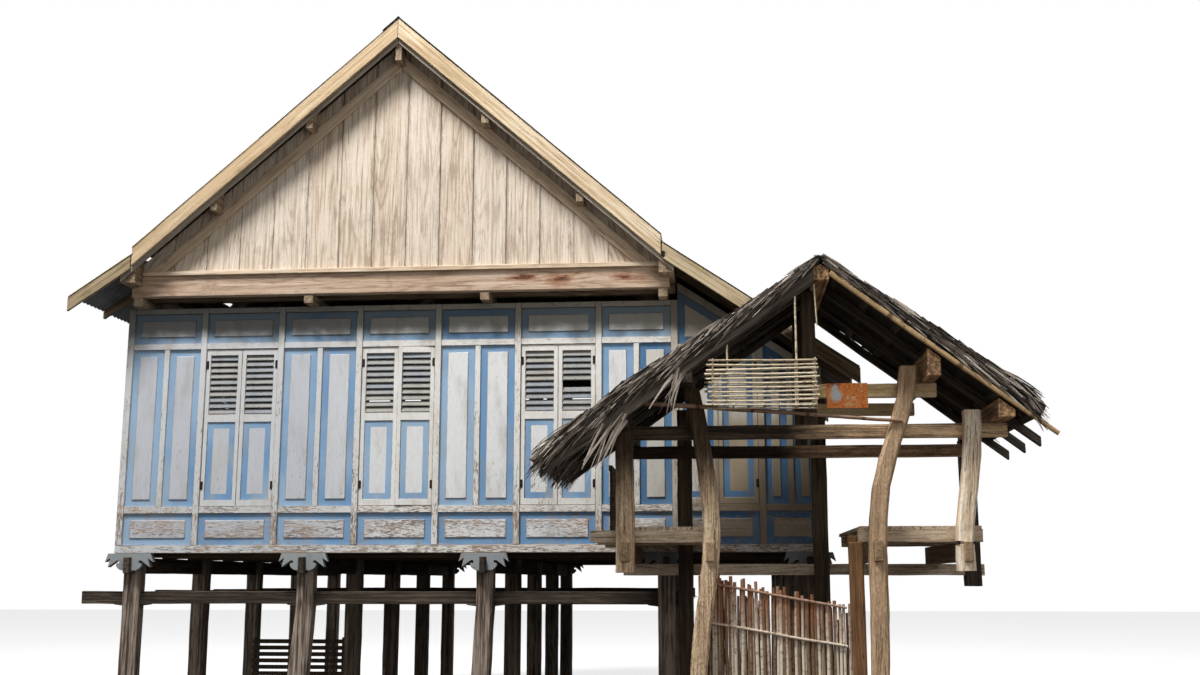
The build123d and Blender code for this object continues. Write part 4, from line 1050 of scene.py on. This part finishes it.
def sheet_maker():
    """A row of corrugated sheets side by side, each a little askew and over the last."""
    tree = Maker("corrugated_sheets")
    count, cover, reach, pitch, depth, seed, columns, rows, finish = tree.take(
        "Count:Int", "Cover", "Reach", "Pitch", "Depth", "Seed:Int", "Columns:Int", "Rows:Int",
        "Finish:Material")
    sheet = tree.do("MeshGrid", {0: cover + pitch, 1: reach, 2: columns, 3: rows})
    place = tree.do("InputPosition")
    x, y, _ = place.parts()
    wave = (x * (2 * math.pi) / pitch).one("SINE") * depth * 0.5
    dents = (place.clouds((3, 2, 1), 3) - 0.5) * depth * 0.5
    sheet = tree.store(sheet, "along", y)
    sheet = tree.do("SetPosition", {0: sheet, "Position": tree.joined(x, y, wave + dents)})
    line = tree.do("MeshLine", {0: count, "Start Location": (0, 0, 0),
                                "Offset": tree.joined(cover, 0.0, 0.0)})
    askew = tree.turn(0.0, -0.0012, tree.random(-0.0025, 0.0025, seed))
    sheets = tree.do("InstanceOnPoints", {0: line, "Instance": sheet, "Rotation": askew})
    slip = tree.joined(0.0, tree.random(-0.012, 0.012, seed), 0.0)
    sheets = tree.do("SetPosition", {0: sheets, "Offset": slip})
    sheets = tree.store(sheets, "seed", tree.random(0.0, 1.0, seed), "INSTANCE")
    return tree.end(sheets, finish)


def hinge_maker():
    """Butt hinges, upright at the guide's points: three knuckles over a pair of flaps."""
    tree = Maker("leaf_hinges")
    tall, turn, finish = tree.take("Tall", "Turn", "Finish:Material")
    knuckle = tree.do("MeshCylinder", {"Vertices": 8, "Radius": 0.0065, "Depth": tall * 0.31})
    line = tree.do("MeshLine", {"Count": 3,
                                "Start Location": tree.joined(0.0, 0.0, tall * -0.33),
                                "Offset": tree.joined(0.0, 0.0, tall * 0.33)})
    barrel = tree.do("InstanceOnPoints", {0: line, "Instance": knuckle})
    flaps = tree.do("MeshCube", {"Size": tree.joined(0.032, 0.005, tall * 0.92)})
    hinge = tree.do("JoinGeometry", {0: barrel})
    tree.tree.links.new(flaps.socket, hinge.socket.node.inputs[0])
    hinges = tree.do("InstanceOnPoints", {0: tree.guide, "Instance": hinge,
                                          "Rotation": tree.turn(0.0, 0.0, turn)})
    hinges = tree.store(hinges, "seed", tree.random(0.0, 1.0, 3), "INSTANCE")
    return tree.end(hinges, finish)


make_sticks, make_straws, make_sheets = stick_maker(), straw_maker(), sheet_maker()
make_hinges = hinge_maker()


def add_sticks(name, sticks, finish, nodes=(), slot=None, sides=8, step=0.05, wobble=0.012,
               knuckle=0.3, rise=0.12, flat=1.0):
    """Sticks with a finish, each given by its points, two radii and a seed."""
    points, edges, thickness, seeds = [], [], [], []
    for line, start, end, seed in sticks:
        first, last = len(points), len(line) - 1
        points += [tuple(point) for point in line]
        edges += [(first + k, first + k + 1) for k in range(last)]
        thickness += [start + (end - start) * (k / last) for k in range(last + 1)]
        seeds += [seed] * len(line)
    guide = bpy.data.meshes.new("stick_guide")
    guide.from_pydata(points, edges, [])
    add_layer(guide, "thickness", thickness)
    add_layer(guide, "seed", seeds)
    mesh = make_sticks.run(name, guide, finish, Sides=sides, Step=step, Wobble=wobble,
                           Knuckle_Pitch=knuckle, Rise=rise, Flat=flat)
    held_inside(mesh)
    for face in mesh.polygons:
        face.use_smooth = flat == 1.0
    add_piece(name, mesh, finish, nodes, slot)


# Hinges, gable planks and barge boards

def add_hinges(node, axis, outward):
    """Two hinges on the outer stile of each leaf of a pair."""
    bm = merged_copy(node)
    leaves = []
    for solid in solids_of(bm):
        spots = np.array([vert.co for face in solid for vert in face.verts])
        leaves.append((spots.min(axis=0), spots.max(axis=0)))
    bm.free()
    leaves.sort(key=lambda pair: pair[0][axis] + pair[1][axis])
    points = []
    for pair in zip(leaves[::2], leaves[1::2]):
        face = outward * min(outward * (high if outward > 0 else low)[1 - axis]
                             for low, high in pair)
        for side, (low, high) in enumerate(pair):
            for share in HINGE_SHARES:
                spot = [0.0, 0.0, low[2] + (high[2] - low[2]) * share]
                spot[axis] = high[axis] - HINGE_SET if side else low[axis] + HINGE_SET
                spot[1 - axis] = face + outward * 0.001
                points.append(tuple(spot))
    guide = bpy.data.meshes.new("hinge_guide")
    guide.from_pydata(points, [], [])
    mesh = make_hinges.run(node + "_hinges", guide, "hinge", Tall=HINGE_TALL,
                           Turn=math.pi / 2 * axis)
    add_piece(node + "_hinges", mesh, "hinge", slot=SLOTS["rusty_plate"])


def add_gable(node, outward):
    """Upright planks under the slope, and strips inside over their joints."""
    low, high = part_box(node)
    middle = (low.x + high.x) / 2
    outside, inside = (low.y, high.y) if outward < 0 else (high.y, low.y)
    bm = bmesh.new()

    def upright(x0, x1, near, far):
        tops = [(x, high.z - MAIN_SLOPE * abs(x - middle)) for x in (x0, x1)]
        if x0 < middle < x1:
            tops.insert(1, (middle, high.z))
        outline = [(x0, low.z)] + tops + [(x1, low.z)]
        front, back = [[bm.verts.new((x, y, z)) for x, z in outline] for y in (near, far)]
        bm.faces.new(front)
        bm.faces.new(reversed(back))
        for a in range(len(outline)):
            b = (a + 1) % len(outline)
            bm.faces.new((front[b], front[a], back[a], back[b]))

    chance = random.Random(7)
    seam = inside + outward * STRIP
    for k in range(PLANK_COUNT):
        joint = PLANK_FROM - PLANK * 8 + PLANK * k
        gap = chance.uniform(0.001, 0.005)
        x0, x1 = max(joint + gap, low.x + 0.002), min(joint + PLANK - gap, high.x - 0.002)
        if x1 - x0 > 0.03:
            upright(x0, x1, outside + outward * chance.uniform(-0.004, 0.0), seam)
        if low.x + 0.05 < joint < high.x - 0.05:
            upright(joint - STRIP_HALF, joint + STRIP_HALF, seam, inside)
    bmesh.ops.recalc_face_normals(bm, faces=bm.faces)
    round_edges(bm, 0.003)
    add_piece(node + "_planks", mesh_from(bm, node + "_planks"), "gable", [node])


for shutters, axis, outward in (("front_shutters", 0, -1), ("back_shutters", 0, 1),
                                ("left_shutters", 1, -1), ("right_shutters", 1, 1)):
    add_hinges(shutters, axis, outward)
add_gable("front_gable_wall", -1)
add_gable("back_gable_wall", 1)
dress_parts("barge_boards", {"bevel": 0.004}, [
    ("_main", "barge", lambda spot: is_main_board(spot) and not is_verge(spot)),
    ("_skirt", "mossy", other_than(is_main_board, is_verge)),
    ("_verge", "verge", is_verge)])


# Corrugated covering

def slope_frame(top, foot, front, back):
    """The matrix that lays a sheet on a slope, and the slope's length."""
    down = Vector((foot[0] - top[0], 0, foot[1] - top[1]))
    length = down.length
    down.normalize()
    up = Vector((-down.z, 0, down.x)) if down.x > 0 else Vector((down.z, 0, -down.x))
    across = down.cross(up)
    matrix = Matrix((across, down, up)).transposed().to_4x4()
    matrix.translation = Vector((top[0], back if across.y < 0 else front, top[1]))
    return matrix, length


def add_covering(name, node, slopes, courses, seed):
    """Courses of sheets over each slope, given by its top and foot in X and Z."""
    front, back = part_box(node)[0].y + 0.024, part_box(node)[1].y - 0.024
    width = back - front
    count = round(width / SHEET_COVER)
    cover = (width - WAVE) / count
    bm = bmesh.new()
    for number, (top, foot) in enumerate(slopes):
        matrix, length = slope_frame(top, foot, front, back)
        reach = (length + COURSE_LAP * (courses - 1)) / courses
        for course in range(courses):
            mesh = make_sheets.run(
                name, bpy.data.meshes.new("sheet_guide"), "sheet", Count=count, Cover=cover,
                Reach=reach, Pitch=WAVE, Depth=WAVE_DEPTH, Seed=seed + number * 10 + course,
                Columns=SHEET_COLUMNS, Rows=SHEET_ROWS)
            lift = 0.003 * (courses - 1 - course) - WAVE_DEPTH * 0.9
            shift = Vector((cover / 2 + WAVE / 2, reach / 2 + (reach - COURSE_LAP) * course, lift))
            mesh.transform(matrix @ Matrix.Translation(shift))
            bm.from_mesh(mesh)
            bpy.data.meshes.remove(mesh)
    mesh = bpy.data.meshes.new(name)
    bm.to_mesh(mesh)
    bm.free()
    held_inside(mesh, soft=0.006)
    for face in mesh.polygons:
        face.use_smooth = True
    add_layer(mesh, "place", read_points(mesh)[:, [1, 2, 0]])
    add_piece(name, mesh, "sheet", [node])


def add_ridge_cap():
    """Folded caps, a little over each other, that follow the ridge."""
    low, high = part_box("ridge_cap")
    reach, start = (high.x - low.x) / 2 - 0.004, low.y + 0.03
    length = (high.y - start - 0.03 + CAP_LAP * (CAP_COUNT - 1)) / CAP_COUNT
    profile = [(-reach, -0.006), (-reach * 0.9, 0.0), (-0.025, 0.0), (0, 0.004), (0.025, 0.0),
               (reach * 0.9, 0.0), (reach, -0.006)]
    bm = bmesh.new()
    for k in range(CAP_COUNT):
        y0, rise = start + (length - CAP_LAP) * k, 0.0015 * (k % 2)
        rings = [[bm.verts.new((house_x + x, y,
                                high.z - RIDGE_SET - abs(x) * MAIN_SLOPE + z + rise))
                  for x, z in profile] for y in (y0, y0 + length)]
        for a in range(len(profile) - 1):
            bm.faces.new((rings[0][a], rings[0][a + 1], rings[1][a + 1], rings[1][a]))
    bmesh.ops.recalc_face_normals(bm, faces=bm.faces)
    bmesh.ops.solidify(bm, geom=bm.faces[:], thickness=CAP_THICK)
    mesh = mesh_from(bm, "ridge_cap_folded")
    held_inside(mesh, 0.0005, soft=0.002)
    add_piece("ridge_cap_folded", mesh, "sheet", ["ridge_cap"])


skirt_low, skirt_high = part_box("skirt_roofs")
main_top = main_high.z - RIDGE_DROP
main_foot = main_top - (main_high.x - house_x - RIDGE_SET) * MAIN_SLOPE
main_right = [(house_x + RIDGE_SET, main_top), (main_high.x, main_foot)]
main_left = [(2 * house_x - x, z) for x, z in main_right]
add_covering("main_covering", "main_roof", [main_right, main_left], 2, 3)
skirt_top = main_high.x - 0.004
skirt_right = [(skirt_top, skirt_high.z),
               (skirt_high.x, skirt_high.z - (skirt_high.x - skirt_top) * SKIRT_SLOPE)]
left_reach = house_x - skirt_low.x - (skirt_top - house_x)
skirt_left = [(2 * house_x - skirt_top, skirt_high.z),
              (skirt_low.x, skirt_high.z - left_reach * SKIRT_SLOPE)]
add_covering("skirt_covering", "skirt_roofs", [skirt_right, skirt_left], 1, 40)
add_ridge_cap()


# Thatch of the porch

def level(line, x):
    """Height of an outline over X."""
    xs, heights = zip(*sorted(line))
    return float(np.interp(x, xs, heights))


class Slope:
    """One slope of the thatch: its outlines in X and Z, and 1 or -1 for the way it runs out."""

    def __init__(self, node):
        corners = {(round(v.co.x, 4), round(v.co.z, 4))
                   for v in frame["nodes"][node].data.vertices}
        self.low, self.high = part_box(node)
        ridge_x = self.high.x if node == "thatch_left" else self.low.x
        by_distance = sorted(corners, key=lambda corner: abs(corner[0] - ridge_x))
        self.ridge_foot, self.ridge = sorted(by_distance[:2], key=lambda corner: corner[1])
        self.knee, self.foot, self.tip = by_distance[2:]
        self.out = math.copysign(1, self.tip[0] - self.ridge[0])

    def over(self, x):
        return level([self.ridge, self.knee, self.tip], x)

    def under(self, x):
        return level([self.ridge_foot, self.foot], x)

    def downhill(self, x):
        """Direction of the upper outline at X, away from the ridge."""
        near_ridge = abs(x - self.ridge[0]) < abs(self.knee[0] - self.ridge[0])
        a, b = (self.ridge, self.knee) if near_ridge else (self.knee, self.tip)
        return Vector((b[0] - a[0], 0, b[1] - a[1])).normalized()


def strand(chance, start, end, bow, width, tip, tones=(0.0, 1.0)):
    """A leaf strip that rises a little and then droops, for add_sticks."""
    rise = chance.uniform(*bow)
    line = [start + (end - start) * t + Vector((0, 0, rise * 4 * t * (1 - t)))
            for t in (0.0, 0.25, 0.5, 0.75, 1.0)]
    return line, chance.uniform(*width), tip, chance.uniform(*tones)


def rake_strand(chance, slope, edge, inwards, droop):
    """A short strip that lies along a gable edge of the thatch, its tip standing off it."""
    x = slope.ridge[0] + (slope.tip[0] - slope.ridge[0]) * chance.uniform(0.0, 0.92)
    z = chance.uniform(slope.under(x) - 0.01, slope.over(x) - 0.006)
    start = Vector((x, edge + inwards * chance.uniform(0.004, 0.045), z))
    course = (slope.downhill(x) + Vector((0, chance.uniform(-0.05, 0.05),
                                          -chance.uniform(*droop)))).normalized()
    end = start + course * chance.uniform(0.13, 0.34)
    room = (slope.tip[0] - end.x) * slope.out + chance.uniform(-0.05, 0.02)
    if room < 0:
        end.x += slope.out * room
    return strand(chance, start, end, (-0.004, 0.012), (0.006, 0.013), 0.002)


def eave_strand(chance, slope, front, back, hang):
    """A strip of the bundle's ragged end, whose tip hangs to just below the eave."""
    low, tip = chance.random(), Vector((slope.tip[0], 0, slope.tip[1]))
    end = Vector((tip.x - slope.out * (0.02 + 0.16 * low * chance.random()),
                  chance.uniform(front, back), tip.z + 0.05 - hang * low))
    x = end.x - slope.out * chance.uniform(0.14, 0.36)
    rise = abs(x - end.x) * chance.uniform(0.75, 1.3)
    z = min(max(end.z + rise, slope.under(x) + 0.01), slope.over(x) - 0.004)
    start = Vector((x, end.y + chance.uniform(-0.03, 0.03), z))
    return strand(chance, start, end, (0.0, 0.035), (0.006, 0.013), 0.0015)


def cover_strand(chance, slope, front, back, nearest, furthest):
    """A strip that lies on the slope, starting between two distances from the ridge."""
    x = slope.ridge[0] + slope.out * chance.uniform(nearest, furthest)
    start = Vector((x, chance.uniform(front, back), slope.over(x) - 0.004))
    course = (slope.downhill(x) + Vector((0, chance.uniform(-0.16, 0.16), 0))).normalized()
    end = start + course * chance.uniform(0.18, 0.30)
    beyond = (end.x - slope.tip[0]) * slope.out + 0.02
    if beyond > 0:
        end.x -= slope.out * beyond
    end.z = slope.over(end.x) + 0.004
    return strand(chance, start, end, (0.0, 0.010), (0.009, 0.015), 0.002)


def fallen_strand(chance, x, z, edge):
    """A pale strip that has slipped down over the gable edge."""
    start = Vector((x + chance.uniform(-0.06, 0.05), edge + chance.uniform(-0.005, 0.02),
                    z + chance.uniform(-0.05, 0.05)))
    end = start + Vector((-chance.uniform(0.06, 0.20), chance.uniform(-0.02, 0.02),
                          -chance.uniform(0.18, 0.36)))
    return strand(chance, start, end, (0.0, 0.02), (0.008, 0.014), 0.003, (0.6, 1.0))


def add_straws(name, quads, downhill, slot, **sizes):
    """Leaf strips scattered over quads, given by their corners."""
    guide = bpy.data.meshes.new("straw_guide")
    guide.from_pydata([corner for quad in quads for corner in quad], [],
                      [tuple(range(4 * k, 4 * k + 4)) for k in range(len(quads))])
    mesh = make_straws.run(name, guide, "thatch", Downhill=downhill, **sizes)
    held_inside(mesh)
    add_piece(name, mesh, "thatch", slot=slot)


def add_thatch(node, seed, rakes, rake_droop, eaves, hang, fallen=()):
    """The bed, the strips that cover it, and the loose ones round its edges."""
    slot, slope = SLOTS[node], Slope(node)
    low, high, ridge, knee, tip = slope.low, slope.high, slope.ridge, slope.knee, slope.tip
    front, back = low.y + 0.03, high.y - 0.03
    middle, share = (low.y + high.y) / 2, 1 - 0.10 / (high.y - low.y)
    body = dress(node, bevel=0.012, cuts=[("x", 0.10), ("y", 0.14)], amount=0.010)
    for vert in body.vertices:
        # The bed's upper face sinks, so that the strips over it keep the roof's outline
        vert.co.y = middle + (vert.co.y - middle) * share
        foot, top = slope.under(vert.co.x), slope.over(vert.co.x)
        part = min(max((vert.co.z - foot) / (top - foot), 0), 1)
        vert.co.z -= part * min(0.03, (top - foot) * 0.4)
    held_inside(body)
    add_piece(node + "_bed", body, "thatch", [node])

    def quad(a, b, lift):
        """The slope between two points of the profile, from the front edge to the back."""
        ends = [(x, y, z + lift) for (x, z), y in ((a, front), (b, front), (b, back), (a, back))]
        return ends if b[0] > a[0] else ends[::-1]

    top_x, under_x = tip[0] - slope.out * 0.28, slope.foot[0] - slope.out * 0.26
    downhill = slope.downhill(knee[0])
    add_straws(node + "_top", [quad(ridge, knee, -0.022),
                               quad(knee, (top_x, slope.over(top_x)), -0.022)],
               downhill, slot, Density=1900.0, Length=0.34, Width=0.026, Droop=0.06, Splay=0.14,
               Lift=0.03, Seed=seed)
    under = quad(slope.ridge_foot, (under_x, slope.under(under_x)), 0.012)[::-1]
    add_straws(node + "_under", [under], downhill, slot, Density=320.0, Length=0.36,
               Width=0.022, Droop=0.02, Splay=0.10, Lift=0.02, Seed=seed + 1)
    chance = random.Random(seed)
    loose = [rake_strand(chance, slope, low.y, 1, rake_droop) for _ in range(rakes)]
    loose += [rake_strand(chance, slope, high.y, -1, rake_droop) for _ in range(rakes // 2)]
    loose += [eave_strand(chance, slope, low.y + 0.005, high.y - 0.005, hang)
              for _ in range(eaves)]
    loose += [fallen_strand(chance, x, z, low.y) for x, z in fallen for _ in range(9)]
    reach = abs(tip[0] - ridge[0])
    loose += [cover_strand(chance, slope, low.y + 0.012, high.y - 0.012, nearest, furthest)
              for nearest, furthest in ((0.0, 0.05), (reach - 0.44, reach - 0.20))
              for _ in range(260)]
    add_sticks(node + "_strands", loose, "thatch", slot=slot, sides=4, step=0.08, wobble=0.03,
               knuckle=0.5, rise=0.0, flat=0.22)


add_thatch("thatch_left", 11, rakes=1100, rake_droop=(0.0, 0.45), eaves=620, hang=0.20,
           fallen=[(0.99, 2.74), (0.90, 2.68), (1.42, 3.08)])
add_thatch("thatch_right", 29, rakes=620, rake_droop=(0.0, 0.25), eaves=320, hang=0.12)


# Bamboo fence, rack, poles and cord

def add_fence():
    """Split pickets in two rows, tied to three laths, their heads falling to the right."""
    low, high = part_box("bamboo_fence")
    chance = random.Random(4)
    width, y = high.x - low.x - 2 * PICKET_HALF, (low.y + high.y) / 2 - 0.004
    sticks = []
    for k in range(PICKETS):
        x = low.x + PICKET_HALF + width / (PICKETS - 1) * k + chance.uniform(-0.004, 0.004)
        top = high.z - 0.03 - HEADS_FALL * k + chance.uniform(-0.035, 0.025)
        lean = chance.uniform(-0.010, 0.010)
        sticks.append(([(x, y + chance.uniform(-0.004, 0.004), 0.0),
                        (x + lean, y, top * 0.5), (x + lean * 1.6, y, top)],
                       chance.uniform(0.0115, 0.0155), chance.uniform(0.0100, 0.0140),
                       chance.random()))
    for k in range(PICKETS_BEHIND):
        x = low.x + PICKET_HALF + width * (k + 0.5) / PICKETS_BEHIND
        fall = HEADS_FALL * k * PICKETS / PICKETS_BEHIND
        top = high.z - 0.06 - fall + chance.uniform(-0.09, 0.0)
        lean = chance.uniform(-0.008, 0.008)
        sticks.append(([(x, y + 0.020, 0.0), (x + lean, y + 0.020, top)],
                       chance.uniform(0.012, 0.016), 0.009, chance.uniform(0.0, 0.35)))
    for left, right, side in ((high.z - 0.10, high.z - 0.29, -1),
                              (high.z - 0.38, high.z - 0.56, -1), (0.55, 0.52, 1)):
        line = [(low.x + (high.x - low.x) * t, y + side * 0.018, left + (right - left) * t)
                for t in (0.02, 0.35, 0.7, 0.98)]
        sticks.append((line, 0.010, 0.009, chance.random()))
    add_sticks("bamboo_pickets", sticks, "fence_bamboo", ["bamboo_fence"], step=0.04,
               wobble=0.014, knuckle=0.31, rise=0.10)


def add_rack():
    """Split bamboo slats tied to uprights, every one a little askew."""
    low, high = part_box("rack_slats")
    chance = random.Random(12)
    slats = []
    for k in range(RACK_ROWS):
        z = low.z - 0.008 + (high.z - low.z - 0.01) / (RACK_ROWS - 1) * k
        for y in (low.y + 0.004, high.y - 0.004):
            sag = chance.uniform(-0.006, 0.002)
            ends = [(low.x - chance.uniform(0.01, 0.05), y, z + chance.uniform(-0.006, 0.006)),
                    ((low.x + high.x) / 2, y, z + sag),
                    (high.x + chance.uniform(-0.012, 0.01), y, z + chance.uniform(-0.005, 0.008))]
            slats.append((ends, chance.uniform(0.0065, 0.0090), chance.uniform(0.0060, 0.0085),
                          chance.random()))
        for x in (low.x + 0.012, high.x - 0.02):
            slats.append(([(x, low.y - 0.006, z + 0.004), (x, high.y + 0.006, z + 0.006)],
                          0.007, 0.007, chance.random()))
    for k in range(RACK_FLOOR):
        x = low.x + 0.05 + (high.x - low.x - 0.1) * k / (RACK_FLOOR - 1)
        slats.append(([(x, low.y, low.z - 0.002), (x, high.y, low.z - 0.002)], 0.007, 0.007,
                      chance.random()))
    add_sticks("rack_bamboo_slats", slats, "rack_bamboo", ["rack_slats"], step=0.04,
               wobble=0.010, knuckle=0.22, rise=0.06)
    low_up, high_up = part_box("rack_uprights")
    uprights = []
    for x, top in ((low_up.x, high.z), (low_up.x + 0.105, high.z + 0.15),
                   (low_up.x + 0.6, high_up.z), (high_up.x - 0.012, high.z)):
        for y, end in ((low_up.y + 0.006, top), (high_up.y - 0.006, high.z)):
            uprights.append(([(x + 0.006, y, low.z), (x + 0.006, y, end)], 0.008, 0.007,
                             chance.random()))
    add_sticks("rack_bamboo_uprights", uprights, "rack_bamboo", ["rack_uprights"], step=0.04,
               wobble=0.006, knuckle=0.22, rise=0.25)
    hanger = [(high.x - 0.010, low.y + 0.03, high_up.z + 0.02),
              (high.x + 0.004, low.y + 0.03, high_up.z - 0.28)]
    add_sticks("hanging_stick", [(hanger, *HANGING_STICK)], "rack_bamboo", slot="bamboo",
               wobble=0.004)


def add_cord():
    """A cord wound twice round the last front post."""
    bm = bmesh.new()
    bm.from_mesh(frame["nodes"]["porch_posts"].data)
    around = np.array([vert.co for solid in solids_of(bm) if middle_of(solid).x > PALER_FROM
                       for face in solid for vert in face.verts])
    bm.free()
    near = around[np.abs(around[:, 2] - CORD_AT) < 0.20]
    low, high = near.min(axis=0), near.max(axis=0)
    loop = [(low[0], low[1]), (high[0], low[1]), (high[0], high[1]), (low[0], high[1]),
            (low[0], low[1])]
    turns = [([(x, y, CORD_AT + lift + lean * (x - low[0]) / (high[0] - low[0]))
               for x, y in loop], CORD_RADIUS, CORD_RADIUS, 0.5) for lift, lean in CORD_TURNS]
    add_sticks("post_cord", turns, "cord", slot=SLOTS["porch_posts"], sides=6, step=0.03,
               wobble=0.004, rise=0.0)


def add_pole():
    low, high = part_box("lashed_pole")
    y = (low.y + high.y) / 2
    line = [(low.x, y, high.z - 0.013), ((low.x * 2 + high.x) / 3, y, high.z - 0.066),
            (high.x, y, low.z + 0.013)]
    add_sticks("reddish_pole", [(line, *RED_POLE)], "pole", ["lashed_pole"], step=0.06,
               wobble=0.02, knuckle=0.5, rise=0.1)


def add_porch_rafters():
    """The sawn rafters, and the round pole that ends the right slope at the front."""
    node, low, ridge_x = "porch_rafters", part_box("porch_rafters")[0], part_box("thatch_right")[0].x

    def is_front(spot):
        return spot.y < low.y + 0.06

    def is_front_pole(spot):
        return is_front(spot) and spot.x > ridge_x

    inner = dress(node, keep=other_than(is_front), **HEWN_X)
    add_piece("porch_rafters_worn", inner, "thatch_rafter", [node])
    rake = dress(node, keep=lambda spot: is_front(spot) and spot.x < ridge_x, **HEWN_X)
    rake.transform(Matrix.Translation((0, 0.03, 0)))
    add_piece("porch_rake_board", rake, "thatch_rafter", slot=SLOTS[node])
    ends = sorted(((vert.co.x, vert.co.z) for vert in dress(node, keep=is_front_pole).vertices),
                  key=lambda end: end[0])
    (x0, z0), (x1, z1) = [np.mean([end for end in ends if abs(end[0] - x) < 0.02], axis=0)
                          for x in (ends[0][0], ends[-1][0])]
    line = [(x0 + (x1 - x0) * t, low.y + 0.026,
             z0 + (z1 - z0) * t - 0.012 * math.sin(math.pi * t))
            for t in (0.0, 0.25, 0.5, 0.75, 0.97)]
    add_sticks("front_right_pole", [(line, *RAKE_POLE)], "brown_pole",
               slot=SLOTS[node], sides=12, step=0.08, wobble=0.012, knuckle=0.6, rise=0.12)


add_fence()
add_rack()
add_cord()
add_pole()
add_porch_rafters()


# Studio

def make_studio():
    world = bpy.data.worlds.new("studio")
    bpy.context.scene.world = world
    world.use_nodes = True
    graph = Graph(world.node_tree)
    world.node_tree.nodes.clear()
    rays = graph.node("ShaderNodeLightPath").socket.node
    camera, glossy, clear = [Value(graph, rays.outputs[name]) for name in (
        "Is Camera Ray", "Is Glossy Ray", "Is Transmission Ray")]
    white = camera.math("MAXIMUM", glossy).math("MAXIMUM", clear)
    height = graph.node("ShaderNodeTexCoord").parts()[2]
    light = SKY_LOW + height.step(-0.1, 0.9) * SKY_RISE
    sky = graph.node("ShaderNodeBackground", inputs={
        "Color": (1, 1, 1, 1), "Strength": light * (1 - white) + white})
    graph.node("ShaderNodeOutputWorld", inputs={0: sky})

    for name, (place, aim, size, energy) in LAMPS.items():
        lamp = bpy.data.lights.new(name, "AREA")
        lamp.shape, lamp.size, lamp.energy = "DISK", size, energy
        lit = bpy.data.objects.new(name, lamp)
        lit.location = place
        lit.rotation_euler = (Vector(aim) - Vector(place)).to_track_quat("-Z", "Y").to_euler()
        bpy.context.scene.collection.objects.link(lit)

    mesh = bpy.data.meshes.new("studio_floor")
    mesh.from_pydata([(x * FLOOR_REACH, y * FLOOR_REACH, 0) for x, y in
                      ((-1, -1), (1, -1), (1, 1), (-1, 1))], [], [(0, 1, 2, 3)])
    mesh.materials.append(finishes["floor"])
    floor = bpy.data.objects.new("studio_floor", mesh)
    floor.location.z = -FLOOR_DROP
    bpy.context.scene.collection.objects.link(floor)
    bpy.context.scene.view_settings.view_transform = "Standard"


make_studio()
